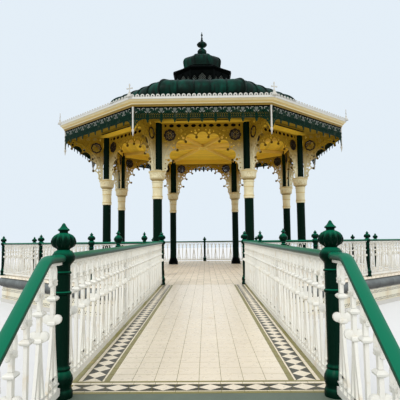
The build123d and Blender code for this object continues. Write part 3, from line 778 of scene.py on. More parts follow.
def capital_paint(name):
    """The capitals: pale cream with ochre lines, a beaded bell and, under it, hollows darkened with painted
    shade.
    """
    c = colours()
    finish = Finish(name, 0.4)
    height = finish.height()
    stains = finish.patches(0.5, 0.74, 7.0, 6.0, 0.65)
    tone = finish.mix(stains * 0.45, blended(shade(c.cream, 0.92), c.ochre, 0.05), shade(c.stain, 0.85))
    lines = (abs(height - 2.617) < 0.012) + (abs(height - 2.914) < 0.012) + (abs(height - 3.432) < 0.013)
    tone = finish.mix(lines.clamp() * 0.75, tone, shade(blended(c.stain, c.ochre, 0.4), 0.8))
    bell = finish.band(height, 3.2, 3.24, 3.38, 3.4)
    beads = finish.patches(0.48, 0.62, 26.0, 3.0, 0.5)
    tone = finish.mix(bell * beads * 0.4, tone, shade(c.shaded_casting_ochre, 1.1))
    # Painted shade in the hollows under the bell.
    painted_hollow_shade = finish.band(height, 3.12, 3.14, 3.15, 3.24)
    finish.colour(finish.mix(painted_hollow_shade * 0.85, tone, shade(c.shaded_casting_ochre, 0.65)))
    finish.bump(finish.noise(40.0), 0.0015, 0.3)


def copper(name, darkness=0.0):
    """Weathered copper: green patina in upright streaks over dark metal, with painted shade that darkens it
    low on the dome.
    """
    c = colours()
    finish = Finish(name, 0.5, gloss=0.08)
    clouds = finish.noise(1.6, 5.0)
    fine = finish.noise(24.0, 6.0, 0.65, (1.0, 1.0, 0.4))
    streaks = finish.patches(0.36, 0.66, 5.5, 6.0, 0.6, (1.0, 1.0, 0.22))
    # Painted shade: low on the dome, where it turns away from the sky, the green gives way to dark metal.
    low = 1 - finish.step(finish.height(), 6.15, 6.6)
    green = (streaks * 0.6 + clouds * 0.5 - darkness - low * 0.42).clamp()
    deep = finish.mix(fine, shade(c.copper_dark, 0.8), shade(c.copper_dark, 1.4))
    bright = finish.mix(finish.step(clouds, 0.35, 0.65), shade(c.copper, 0.42), shade(c.copper, 1.1))
    finish.colour(finish.mix(green, deep, bright))
    finish.rough(0.42 + green * 0.2)
    finish.bump(fine, 0.003, 0.35)


def lead(name, edge=None, roll=False):
    """Lead sheet: grey, with pale bloom and dark runs. Upright faces may have a colour of their own,
    and the roll of the coping is darkened underneath as painted shade."""
    c = colours()
    finish = Finish(name, 0.5, metallic=0.1)
    runs = finish.noise(4.0, 6.0, 0.6, (1.0, 1.0, 0.3))
    tone = finish.mix(runs, shade(c.lead, 0.45), c.lead)
    tone = finish.mix(finish.patches(0.42, 0.7, 2.2, 6.0, 0.6) * 0.5, tone, shade(c.lead, 1.7))
    if edge:
        tone = finish.mix(abs(finish.facing()[2]) < 0.3, tone, edge)
    if roll:
        # Painted shade on the underside of the coping's roll.
        tone = finish.mix(finish.step(finish.height(), -0.34, -0.12), shade(c.lead, 0.16), tone)
    finish.colour(tone)
    finish.rough(0.38 + runs * 0.25)
    finish.bump(finish.noise(9.0, 5.0), 0.006, 0.4)


def tile(name, colour, roughness):
    """Worn floor tile, a little different from place to place, with rusty patches."""
    finish = Finish(name, roughness)
    tone = finish.mix(finish.noise(2.1, 3.0), shade(colour, 0.9), shade(colour, 1.05))
    rust = finish.patches(0.62, 0.74, 3.4, 5.0, 0.6)
    tone = finish.mix(rust * 0.3, tone, shade(colours().stain, 1.1))
    wear = finish.noise(18.0, 6.0, 0.65)
    finish.colour(finish.mix(finish.step(wear, 0.55, 0.8) * 0.12, tone, shade(colour, 0.75)))
    finish.rough(roughness + (wear - 0.5) * 0.3)
    finish.bump(wear, 0.0003, 0.15)


def floor_tiles(name):
    """The platform's floor: square cream tiles with olive joints, each tile of its own tone."""
    c, s = colours(), sizes()
    finish = Finish(name, 0.4)
    x, y, _ = finish.parts(finish.place())
    column, row = x / s.tile, y / s.tile
    edge = 0.5 - s.tile_joint / s.tile
    joint = ((abs(column.fraction() - 0.5) > edge) + (abs(row.fraction() - 0.5) > edge)).clamp()
    number = finish.node("ShaderNodeCombineXYZ", {}, {0: column.whole(), 1: row.whole()})
    chance = finish.node("ShaderNodeTexWhiteNoise", {}, {0: number}, "Value")
    wear = finish.noise(7.0, 6.0, 0.65)
    tone = finish.mix(chance, shade(c.tile_cream, 0.84), shade(c.tile_cream, 1.04))
    tone = finish.mix(finish.step(wear, 0.5, 0.78) * 0.35, tone, shade(c.tile_cream, 0.66))
    finish.colour(finish.mix(joint, tone, shade(c.tile_olive, 0.95)))
    finish.rough(0.35 + wear * 0.25)
    finish.bump(1 - joint, 0.002, 0.6)


def grout(name):
    """The bed of mortar between the tiles."""
    c = colours()
    finish = Finish(name, 0.85)
    sand = finish.noise(40.0, 6.0)
    finish.colour(finish.mix(sand, shade(c.tile_olive, 0.5), shade(c.tile_olive, 1.1)))
    finish.bump(sand, 0.002, 0.5)


def along_wall(finish):
    """How far along an upright wall a place is, whichever way the wall faces, and its height."""
    x, y, z = finish.parts(finish.place())
    normal = finish.facing("True Normal")
    return y * normal[0] - x * normal[1], z


def masonry(name):
    """Coursed stone blocks with mortar joints, darker towards the ground."""
    c = colours()
    finish = Finish(name, 0.85)
    along, height = along_wall(finish)
    tones = {"Color1": shade(c.masonry, 0.72), "Color2": shade(c.masonry, 1.1)}
    joint = {"Mortar": shade(c.masonry, 1.35), "Mortar Size": 0.006, "Mortar Smooth": 0.3}
    stone = {"Scale": 1.0, "Bias": 0.0, "Brick Width": 0.42, "Row Height": 0.13}
    here = finish.node("ShaderNodeCombineXYZ", {}, {0: along, 1: height})
    sockets = {"Vector": here, **tones, **joint, **stone}
    blocks = finish.node("ShaderNodeTexBrick", {"offset": 0.5}, sockets, "Color")
    joints = finish.node("ShaderNodeTexBrick", {"offset": 0.5}, sockets, "Fac")
    # Darker towards the ground, over the lowest 0.3 m.
    ground_darkening = 1 - finish.step(height, 0.0, 0.3)
    grain = finish.noise(22.0, 8.0, 0.7)
    finish.colour(finish.mix((ground_darkening * 0.5 + grain * 0.3).clamp(), blocks, shade(c.masonry, 0.4)))
    finish.bump(grain * 0.4 - joints, 0.006, 0.8)


def pierced_band(name):
    """The plate band: cream with four rows of small holes, painted black as painted shade in them, in two
    staggered pairs.
    """
    c = colours()
    finish = Finish(name, 0.45)
    along, height = along_wall(finish)
    pitch, holes = 0.09, 0.0
    for row, shift in ((0.17, 0.0), (0.215, 0.5), (0.4, 0.5), (0.445, 0.0)):
        across = (along / pitch + shift).fraction() - 0.5
        up = (height - row) / pitch
        holes = ((across * across + up * up) < 0.05) + holes
    stains = finish.patches(0.45, 0.75, 3.0, 7.0, 0.65, (1.0, 1.0, 0.4))
    tone = finish.mix(stains * 0.6, blended(c.cream, c.white, 0.5), c.stain)
    # Painted shade: the holes are painted black, with a bump round them.
    finish.colour(finish.mix(holes.clamp(), tone, c.black))
    finish.bump(1 - holes, 0.004, 0.7)


def step_stone(name):
    """Grey-green stone of the nosing and the steps, with a worn face."""
    c = colours()
    finish = Finish(name, 0.6)
    speckle = finish.noise(70.0, 4.0, 0.7)
    tone = finish.mix(finish.noise(2.4, 6.0), shade(c.step_stone, 0.62), shade(c.step_stone, 1.15))
    finish.colour(finish.mix(finish.step(speckle, 0.55, 0.7) * 0.4, tone, shade(c.step_stone, 1.6)))
    finish.rough(0.45 + speckle * 0.35)
    finish.bump(speckle, 0.0015, 0.5)


def made(name):
    """A finish made by the finishes operator."""
    if name not in bpy.data.materials:
        raise ValueError(f"no finish is named {name}")
    return bpy.data.materials[name]


def repaint(name, *nodes):
    """Gives carried-over nodes a finish."""
    for node in nodes:
        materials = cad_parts[node].data.materials
        materials.clear()
        materials.append(made(name))


# Castings


def lace_loops():
    """The centres and radii of the loops between an arch's rib and its frame."""
    loops = [((1.272, ARCH_SPRING + 1.262), 0.03)]
    for near, far, radius in LACE_LOOPS:
        loops += [((near, ARCH_SPRING + far), radius), ((far, ARCH_SPRING + near), radius)]
    return loops


def frieze():
    """The pierced plate along the top of half an arch, with its rails."""
    low, high, middle = FRIEZE_BOTTOM, CEILING, 5.0225
    tip = [(0.092, 0.0), (0.058, 0.04), (0.022, 0.056)]
    under = [(x, -y) for x, y in reversed(tip[1:])]
    cell = tip + [(-x, y) for x, y in reversed(tip)] + [(-x, -y) for x, y in tip[1:]] + under
    outlines = [[(0.0, low), (CASTING_EDGE, low), (CASTING_EDGE, high), (0.0, high)]]
    for number in range(4):
        outlines.append([(0.302 + 0.249 * number + x, middle + y) for x, y in cell])
    first = [(x + 0.053, y) for x, y in tip] + [(0.03, 0.056), (0.03, -0.056)]
    first += [(x + 0.053, y) for x, y in under]
    last = [(1.298 - x, y) for x, y in tip[:2]] + [(1.285, 0.056), (1.285, -0.056)]
    last += [(1.298 - x, y) for x, y in under[-1:]]
    outlines += [[(x, middle + y) for x, y in outline] for outline in (first, last)]
    shape = plate(outlines, 0.028)
    for level in (low + 0.008, high - 0.014):
        shape.strip([(0, level), (CASTING_EDGE, level)], 0.018, 0.036, MOULDED_BAR)
    return shape


def on_arch(radius, angle):
    """A point on a circle round the middle of an arch."""
    return arc(ARCH_MIDDLE, radius, angle, angle, 1)[0]


def foils(shape, low):
    """Adds the bars of the cusps of half an arch, and gives the line on which they run."""
    edge = [(0, ARCH_SPRING + FOIL_PLACE + FOIL_REACH)]
    for foil in range(5):
        angle = 90 - FOIL_TURN * foil
        first = angle + FOIL_SPREAD if foil else 90
        last = angle - FOIL_SPREAD if foil < 4 else -20
        line = arc(on_arch(FOIL_PLACE, angle), FOIL_REACH, first, last, 16 if foil else 9)
        if foil == 4:
            line.append((1.262, low))
        shape.strip(line, sizes().foil_bar, 0.03, MOULDED_BAR)
        edge += line[1:]
    return edge


def half_casting():
    """One cusped half arch: x runs out from the middle of the bay and y up from the floor."""
    low, high = CAPITAL_TOP + 0.002, FRIEZE_BOTTOM + 0.004
    shape = frieze()
    shape.strip([(1.341, low), (1.341, high)], 0.06, 0.022)
    for x in (1.318, 1.362):
        shape.strip([(x, low), (x, high)], 0.02, 0.036, MOULDED_BAR)
    shape.strip(arc(ARCH_MIDDLE, 1.325, 10.5, 79.5, 30), sizes().rib_bar, 0.034, MOULDED_BAR)
    web = [*foils(shape, low), (1.318, low), *arc(ARCH_MIDDLE, 1.322, 8, 90, 24)]
    holes = [circle((1.27, ARCH_SPRING - 0.05), 0.022, 8)]
    group = ((0, 1.178, 0.048), (0, 1.268, 0.025), (-6, 1.262, 0.023), (6, 1.262, 0.023))
    for angle in CUSPS:
        holes += [circle(on_arch(out, angle + turn), radius, 8) for turn, out, radius in group]
    shape.place(plate([web, *holes], 0.012))
    for angle in CUSPS:
        shape.ball(on_arch(1.07, angle), 0.034, 8, 4)
    shape.ring(ROSETTE_PLACE, 0.207, 0.018, 0.036, 32, MOULDED_BAR)
    web = [*arc(ARCH_MIDDLE, 1.315, 8, 83, 20), (0.16, high), (1.345, high), (1.345, low + 0.03)]
    large = [(centre, radius) for centre, radius in lace_loops() if radius > 0.04]
    holes = [circle(ROSETTE_PLACE, 0.2, 20)]
    for centre, radius in large:
        holes.append(circle(centre, radius * 0.36, 8))
        holes += [circle(knot, radius * 0.24, 6) for knot in arc(centre, radius * 0.68, 0, 270, 3)]
    shape.place(plate([web, *holes], 0.01))
    for centre, radius in lace_loops():
        shape.ring(centre, radius - 0.008, 0.02, 0.024, 16)
    for centre, radius in large:
        for knot in arc(centre, radius * 0.48, 45, 315, 3):
            shape.ring(knot, radius * 0.25, 0.011, 0.018, 7)
    return shape


def drop_balls():
    """The balls on the cusps of half an arch."""
    shape = Shape()
    for angle in CUSPS:
        shape.ball(on_arch(1.024, angle), sizes().drop, 12, 8)
    return shape


def scallops(reach, cut):
    """A scalloped circle round a rosette, its lobes in line with the petals."""
    petals = sizes().petals
    points = []
    for step in range(petals * 8):
        angle = math.tau * step / (petals * 8)
        radius = reach - cut + cut * abs(math.cos(petals * angle / 2)) ** 0.7
        points.append((radius * math.cos(angle), radius * math.sin(angle)))
    return points


def rosette_rim():
    """The scalloped ring of a rosette, alike on both faces."""
    rim = plate([scallops(0.21, 0.024), scallops(0.158, 0.02)], 0.05, 0.008)
    return Shape().place(rim, spot(*ROSETTE_PLACE))


def rosette_heart(open_petals):
    """The petals and the hub of a rosette. Open petals are thin loops, the others broad leaves."""
    petals = sizes().petals
    shape = Shape()
    leaf = [(0.045, 0.0), (0.075, 0.028), (0.11, 0.042), (0.14, 0.049), (0.165, 0.026), (0.168, 0.0)]
    outline = leaf + [(x, -y) for x, y in reversed(leaf[1:-1])]
    if open_petals:
        petal = Shape().strip(outline, 0.013, 0.03, KNIFE_BAR, closed=True)
        petal.strip([(0.05, 0), (0.15, 0)], 0.01, 0.02, KNIFE_BAR)
    else:
        slot = [(0.09, 0.0), (0.13, 0.01), (0.138, 0.016), (0.12, 0.017), (0.09, 0.007)]
        petal = plate([outline, slot], 0.03, 0.003)
        petal.strip([(0.06, -0.012), (0.1, -0.022), (0.145, -0.014)], 0.016, 0.044, KNIFE_BAR)
    for number in range(petals):
        turned = Matrix.Rotation(math.tau * number / petals, 4, "Z")
        shape.place(petal, spot(*ROSETTE_PLACE) @ turned)
    shape.ring(ROSETTE_PLACE, 0.046, 0.02, 0.044, 16, MOULDED_BAR)
    faces = [spot(*ROSETTE_PLACE, way * 0.012) for way in (1, -1)]
    return shape.place(Shape().ball((0, 0), 0.034, 12, 5), *faces)


class BANDSTAND_OT_finishes(bpy.types.Operator):
    """Make the paints, copper, stone and tile finishes"""

    bl_idname = "bandstand.finishes"
    bl_label = "Finishes"

    def execute(self, context):
        make_finishes()
        return {"FINISHED"}


class BANDSTAND_OT_platform(bpy.types.Operator):
    """Dress the masonry, the plate band, the coping and the steps"""

    bl_idname = "bandstand.platform"
    bl_label = "Platform"

    def execute(self, context):
        repaint("masonry", "platform_base", "bridge_abutment")
        repaint("pierced band", "platform_fascia")
        repaint("coping lead", "platform_coping")
        repaint("step stone", "bridge_nosing", "entrance_steps")
        repaint("column green paint", "bridge_girders")
        straps = Shape()
        strap = Shape().strip(arc(COPING, COPING_ROLL, -88, 88, 12), 0.012, 0.05, MOULDED_BAR)
        half = COPING[0] * SIDE_SHARE
        for side in range(SIDES):
            for number in range(6):
                shift = (number - 2.5) * 2 * half / 6
                if side or abs(shift) >= ENTRANCE_HALF:
                    straps.place(strap, profile_place(side, shift))
        straps.piece("coping_straps", "coping lead", "lead_roll")
        rivets = Shape()
        head = [(0.014, 0.0), (0.012, 0.007), (0.006, 0.011)]
        for x in (-GIRDER_X, GIRDER_X):
            for number in range(42):
                distance = 7.15 + number * 0.17
                level = deck_at(distance)
                for drop in (0.18, 0.36):
                    for way in (1, -1):
                        turned = Matrix.Rotation(way * math.pi / 2, 4, "Y")
                        rivets.lathe(head, 6, spot(x + way * 0.012, -distance, level - drop) @ turned)
            for number in range(9):
                distance = 7.3 + number * 0.8
                level = deck_at(distance)
                plan = [(x + a * 0.07, b * 0.005 - distance) for a, b in ((-1, -1), (1, -1), (1, 1), (-1, 1))]
                rivets.loft([[(*point, level - drop) for point in plan] for drop in (0.396, 0.144)])
        rivets.piece("girder_rivets", "column green paint", "girder_paint")
        return {"FINISHED"}


class BANDSTAND_OT_tiles(bpy.types.Operator):
    """Lay the tiles of the floor and of the bridge with its diamond borders"""

    bl_idname = "bandstand.tiles"
    bl_label = "Tiles"

    def execute(self, context):
        repaint("floor tiles", "platform_floor")
        repaint("grout", "bridge_deck")
        s = sizes()
        cream, olive, slate = Shape(), Shape(), Shape()
        start = FLOOR_APOTHEM + 0.002
        rows = round((TILES_END - start) / s.tile)
        pitch = (TILES_END - start) / rows
        columns = [number * s.tile for number in range(-4, 5)]
        borders = [
            (olive, columns[-1], 0.822), (cream, 0.822, 0.842), (cream, 1.014, 1.05),
            (olive, 1.05, TILES_HALF),
        ]
        for row in range(rows):
            along = (start + row * pitch, start + (row + 1) * pitch)
            for across in zip(columns, columns[1:]):
                lay_tile(cream, across, along)
            for way in (1, -1):
                for shape, near, far in borders:
                    lay_tile(shape, (way * near, way * far), along)
                lay_tile(slate, (way * 0.842, way * 1.014), along, SLATE_RISE)
                if row:
                    lay_diamond(cream, (way * BORDER_X, along[0]), 0.084, pitch / 2 - 0.002)
                else:
                    lay_half_diamond(cream, (way * BORDER_X, start + 0.002), 0.084, pitch / 2 - 0.004)
                    lay_half_diamond(cream, (way * BORDER_X, TILES_END - 0.002), 0.084, 0.004 - pitch / 2)
        width = 0.18517
        for column in range(12):
            across = (-TILES_HALF + column * width, -TILES_HALF + (column + 1) * width)
            for shape, near, far in (
                (olive, TILES_END, 14.95),
                (cream, 14.95, 15.0),
                (cream, 15.165, 15.185),
                (olive, 15.185, 15.228),
            ):
                lay_tile(shape, across, (near, far))
        along = (15.003, 15.162)
        for column in range(10):
            middle = (column - 4.5) * s.tile
            lay_tile(slate, (middle - s.tile / 2, middle + s.tile / 2), along, SLATE_RISE)
            lay_diamond(cream, (middle, END_BORDER), 0.094, 0.074)
        for way in (1, -1):
            lay_tile(slate, (way * 5 * s.tile, way * 1.062), along, SLATE_RISE)
            corner = ((1.06, -0.071), (0.976, 0.0), (1.06, 0.071))
            lay(cream, [(way * x, END_BORDER + y) for x, y in corner])
        cream.piece("cream_tiles", "cream tile", "bridge_tiles")
        olive.piece("olive_tiles", "olive tile", "bridge_tiles")
        slate.piece("slate_tiles", "slate tile", "bridge_tiles")
        return {"FINISHED"}


def lay(shape, outline, height=0.002):
    """A tile on the bridge from its outline of places across and distances out, its edge eased."""
    middle = Vector((sum(x for x, _ in outline), sum(y for _, y in outline))) / len(outline)
    rings = []
    for inset, level in ((0.0, 0.0), (0.0, height - 0.0006), (0.0008, height)):
        points = [Vector(point) + (middle - Vector(point)).normalized() * inset for point in outline]
        rings.append([(point.x, -point.y, deck_at(point.y) + level) for point in points])
    shape.loft(rings)


def lay_tile(shape, across, along, height=0.002):
    """A right-angled tile with half a joint all round it, wider between the rows."""
    gap, cross_gap = sizes().tile_joint / 2, sizes().cross_joint / 2
    left, right = min(across) + gap, max(across) - gap
    near, far = min(along) + cross_gap, max(along) - cross_gap
    lay(shape, [(left, near), (right, near), (right, far), (left, far)], height)


def lay_diamond(shape, centre, half_width, half_length):
    """A diamond-shaped tile."""
    x, y = centre
    outline = [(x - half_width, y), (x, y - half_length), (x + half_width, y), (x, y + half_length)]
    lay(shape, outline)


def lay_half_diamond(shape, centre, half_width, length):
    """Half a diamond tile, its base across the end of a border."""
    x, y = centre
    lay(shape, [(x - half_width, y), (x + half_width, y), (x, y + length)])


class BANDSTAND_OT_columns(bpy.types.Operator):
    """Dress the columns with their feet, shafts and capitals"""

    bl_idname = "bandstand.columns"
    bl_label = "Columns"

    def execute(self, context):
        feet, shafts, capitals = Shape(), Shape(), Shape()
        foot = [(0.227, 0.0), (0.227, 0.02), (0.222, 0.03), (0.222, 0.15), (0.2, 0.175), (0.197, 0.205)]
        torus = [(0.175, 0.2), (0.188, 0.215), (0.19, 0.235), (0.18, 0.255), (0.162, 0.27), (0.157, 0.31)]
        shaft = [(0.152, 0.3), (0.152, 2.56)]
        post = [(0.1395, CAPITAL_TOP + 0.001), (0.1395, CEILING - 0.012)]
        capital = [
            (0.155, 2.525), (0.17, 2.527), (0.175, 2.535), (0.175, 2.588), (0.171, 2.6), (0.178, 2.606),
            (0.178, 2.626), (0.17, 2.634), (0.164, 2.645), (0.163, 2.89), (0.17, 2.9), (0.175, 2.908),
            (0.175, 2.922), (0.17, 2.93), (0.173, 2.95), (0.176, 3.03), (0.17, 3.05), (0.172, 3.068),
            (0.192, 3.078), (0.197, 3.09), (0.195, 3.104), (0.178, 3.114), (0.172, 3.128, 0.06),
            (0.186, 3.145, 0.12), (0.218, 3.172, 0.16), (0.245, 3.2, 0.15), (0.257, 3.222, 0.08),
            (0.259, 3.235), (0.254, 3.243), (0.26, 3.31, 0.03), (0.268, 3.38), (0.274, 3.396),
            (0.284, 3.402), (0.298, 3.42), (0.3, 3.43), (0.298, 3.438), (0.291, 3.442), (0.297, 3.447),
            (0.3, CAPITAL_TOP - 0.002), (0.296, CAPITAL_TOP), (0.16, CAPITAL_TOP + 0.001),
            (0.158, CAPITAL_TOP + 0.03), (0.148, CAPITAL_TOP + 0.045), (0.1402, CAPITAL_TOP + 0.048),
        ]
        for place in corners(RING_RADIUS):
            feet.lathe(foot, 8, place)
            feet.lathe(torus, 24, place)
            shafts.lathe(shaft, 24, place)
            shafts.lathe(post, 24, place)
            capitals.lathe(capital, 48, place, 16)
        nodes = [f"column_{corner + 1}" for corner in range(SIDES)]
        shafts.piece("column_shafts", "column green paint", "column_paint", *nodes)
        feet.piece("column_feet", "black paint", "column_paint")
        capitals.piece("column_capitals", "capital paint", "cream_castings", sharp=50)
        return {"FINISHED"}


class BANDSTAND_OT_arches(bpy.types.Operator):
    """Hang the cusped arch castings in the bays and under the eaves"""

    bl_idname = "bandstand.arches"
    bl_label = "Arch castings"

    def execute(self, context):
        half = half_casting()
        for number, place in enumerate(sides(BAY_APOTHEM), 1):
            arch = Shape().place(half, place, place @ MIRROR)
            arch.piece(f"arch_casting_{number}", "casting paint", "cream_castings", f"spandrel_{number}")
        middle = (FRIEZE_BOTTOM + CEILING) / 2
        # Black boards behind the friezes make their ovals black: partly the ring beam's dark paint, partly
        # painted shade.
        back = Shape().strip([(-1.3, middle), (1.3, middle)], CEILING - FRIEZE_BOTTOM - 0.03, 0.008)
        # Painted shadow: a black lip along the foot of each soffit batten.
        lip = Shape().strip([(-0.85, 5.03), (0.85, 5.03)], 0.014, 0.07, MOULDED_BAR)
        backs = Shape().place(back, *sides(BAY_APOTHEM)).place(lip, *sides(BATTEN_APOTHEM))
        backs.piece("frieze_backs_and_shadow_lips", "black paint", "rosette_paint")
        flange = Shape().strip([(1.3805, CAPITAL_TOP + 0.05), (1.3805, CEILING - 0.03)], 0.0185, 0.05)
        Shape().place(flange, *half_bays()).piece("casting_flanges", "column green paint", "column_paint")
        batten = Shape().strip([(-0.84, 5.062), (0.84, 5.062)], CEILING - 5.048, 0.05)
        Shape().place(batten, *sides(BATTEN_APOTHEM)).piece("soffit_battens", "ochre paint", "cream_castings")
        under_eaves = Shape().place(half, *brackets())
        under_eaves.piece("bracket_castings", "casting paint", "cream_castings", "eaves_brackets")
        return {"FINISHED"}


class BANDSTAND_OT_rosettes(bpy.types.Operator):
    """Set the rosettes and the balls in the castings"""

    bl_idname = "bandstand.rosettes"
    bl_label = "Rosettes and drops"

    def execute(self, context):
        flowers = Shape().place(rosette_rim(), *brackets(), *half_bays())
        flowers.place(rosette_heart(False), *half_bays())
        flowers.piece("rosette_flowers", "brown paint", "rosette_paint", "rosettes")
        hearts = Shape().place(rosette_heart(True), *brackets())
        hearts.piece("bracket_rosette_petals", "casting paint", "cream_castings")
        drops = Shape().place(drop_balls(), *brackets(), *half_bays())
        drops.piece("cusp_drops", "drop paint", "rosette_paint")
        return {"FINISHED"}


def board(place, near, far, slot, gap):
    """A ceiling board between two distances out, with half a joint, or half a slot, at its edges."""
    low, high = [gap if abs(edge - SOFFIT_SLOT) > 0.01 else slot for edge in (near, far)]
    low, high = near + low, far - high
    rings = []
    for level, inset in ((CEILING, 0.0), (CEILING - 0.008, 0.0), (CEILING - 0.01, 0.002)):
        inner, outer = low + inset, high - inset
        half_in, half_out = inner * SIDE_SHARE - gap, outer * SIDE_SHARE - gap
        corners_of_ring = ((-half_in, inner), (half_in, inner), (half_out, outer), (-half_out, outer))
        rings.append([place @ Vector((along, level, out)) for along, out in corners_of_ring])
    return rings


class BANDSTAND_OT_ceiling(bpy.types.Operator):
    """Board the ceiling and mould its ribs, its boss and the ring beam"""

    bl_idname = "bandstand.ceiling"
    bl_label = "Ceiling"

    def execute(self, context):
        repaint("ochre paint", "ceiling")
        repaint("rib highlight paint", "ceiling_ribs")
        repaint("beam paint", "ring_beam")
        s = sizes()
        edges = [SOFFIT_SLOT + s.plank * step for step in range(-34, 9)]
        edges = [edge for edge in edges if 0.2 < edge < SOFFIT_EDGE] + [SOFFIT_EDGE]
        boards = Shape()
        for place in sides(0):
            for near, far in zip(edges, edges[1:]):
                boards.loft(board(place, near, far, 0.011, s.plank_joint / 2))
        boards.piece("ceiling_planks", "ochre paint", "ceiling_boards")
        bead = Shape().strip([(x, CEILING - 0.122) for x in RIB_ENDS], 0.022, 0.05, ROUND_BAR)
        bead.strip([(x, CEILING - 0.02) for x in RIB_ENDS], 0.02, 0.1, MOULDED_BAR)
        ribs = Shape().place(bead, *hips())
        boss = [
            (0.2, CEILING - 0.1), (0.21, CEILING - 0.12), (0.2, CEILING - 0.135), (0.15, CEILING - 0.14),
            (0.13, CEILING - 0.16), (0.08, CEILING - 0.17), (0.06, CEILING - 0.2), (0.02, CEILING - 0.21),
        ]
        ribs.lathe(boss, 32, spot(0, 0, FLOOR))
        ribs.piece("rib_mouldings", "rib highlight paint", "ceiling_boards")
        return {"FINISHED"}


class BANDSTAND_OT_gutter(bpy.types.Operator):
    """Mould the gutter and set the cresting, the corner crosses and the pendants on it"""

    bl_idname = "bandstand.gutter"
    bl_label = "Gutter and cresting"

    def execute(self, context):
        s = sizes()
        outer = [
            (5.176, 5.266), (5.183, 5.27), (5.183, 5.3), (5.193, 5.306), (5.2, 5.318), (5.2, 5.33),
            (5.207, 5.337), (5.221, 5.352), (5.24, 5.37), (5.255, 5.39), (5.26, 5.402), (5.27, 5.408),
            (5.29, 5.42), (5.308, 5.432), (5.314, 5.438), (5.314, 5.45), (5.332, 5.456), (5.34, 5.466),
            (5.341, 5.5), (5.335, GUTTER_TOP),
        ]
        inner = [(5.322, GUTTER_TOP), (5.322, 5.47), (5.176, 5.29), (5.161, 5.29), (5.161, 5.266)]
        strap = Shape().strip([(x + 0.002, y) for x, y in outer[3:-1]], 0.014, 0.06, MOULDED_BAR)
        places = [profile_place(side, shift) for side in range(SIDES) for shift in (-1.55, -0.52, 0.52, 1.55)]
        gutter = Shape().around(outer + inner).place(strap, *places)
        gutter.piece("gutter_moulding", "gutter paint", "gutter_paint", "eaves_gutter")

        side_length = 2 * (GUTTER_LIP - 0.006) * SIDE_SHARE
        count = round(side_length / s.cresting_pitch)
        pitch = side_length / count
        loop = arc((0, 0.03), 0.062, 205, -25, 14)
        unit = plate([loop, circle((0, 0.034), 0.021, 10)], 0.012, 0.002)
        unit.strip([(-pitch / 2, 0.004), (pitch / 2, 0.004)], 0.01, 0.016)
        crest = Shape()
        for place in sides(GUTTER_LIP - 0.0075):
            for number in range(count):
                crest.place(unit, place @ spot((number - (count - 1) / 2) * pitch, GUTTER_TOP))
        crest.piece("cresting_loops", "crest white in painted shade", "white_paint", "gutter_cresting")

        arms = [
            (-0.013, 0.13), (-0.013, 0.25), (-0.07, 0.256), (-0.085, 0.24), (-0.108, 0.256), (-0.11, 0.284),
            (-0.085, 0.3), (-0.07, 0.284), (-0.015, 0.29), (-0.016, 0.35), (-0.03, 0.372), (-0.022, 0.392),
        ]
        outline = arms + [(0.0, 0.428)] + [(-x, y) for x, y in reversed(arms)]
        blade = plate([outline], 0.022, 0.004)
        base = [
            (0.075, 0.0), (0.075, 0.03), (0.066, 0.04), (0.058, 0.05), (0.034, 0.1), (0.026, 0.13),
            (0.03, 0.14), (0.03, 0.155), (0.016, 0.165), (0.012, 0.2),
        ]
        crosses = Shape()
        turned = axes((0, 1, 0), (0, 0, 1), (1, 0, 0), (0, 0, 0))
        for place in corners((GUTTER_LIP - 0.006) / FLAT_SHARE, GUTTER_TOP):
            crosses.lathe([(radius * 1.38, height) for radius, height in base], 4, place)
            crosses.place(blade, place @ turned)
        crosses.piece("cross_finials", "crest white in painted shade", "white_paint", "corner_crosses")

        drop = [
            (0.036, 0.0), (0.036, -0.04), (0.028, -0.05), (0.027, -0.62), (0.034, -0.63), (0.036, -0.65),
            (0.027, -0.665), (0.024, -0.69), (0.036, -0.715), (0.041, -0.745), (0.036, -0.775),
            (0.02, -0.8), (0.026, -0.815), (0.024, -0.83), (0.012, -0.855), (0.014, -0.872),
            (0.004, -0.918),
        ]
        pendants = Shape().place(Shape().lathe(drop, 16), *corners(PENDANT_PLACE, GUTTER_BOTTOM))
        pendants.piece("pendant_drops", "crest white in painted shade", "white_paint", "corner_pendants")
        return {"FINISHED"}


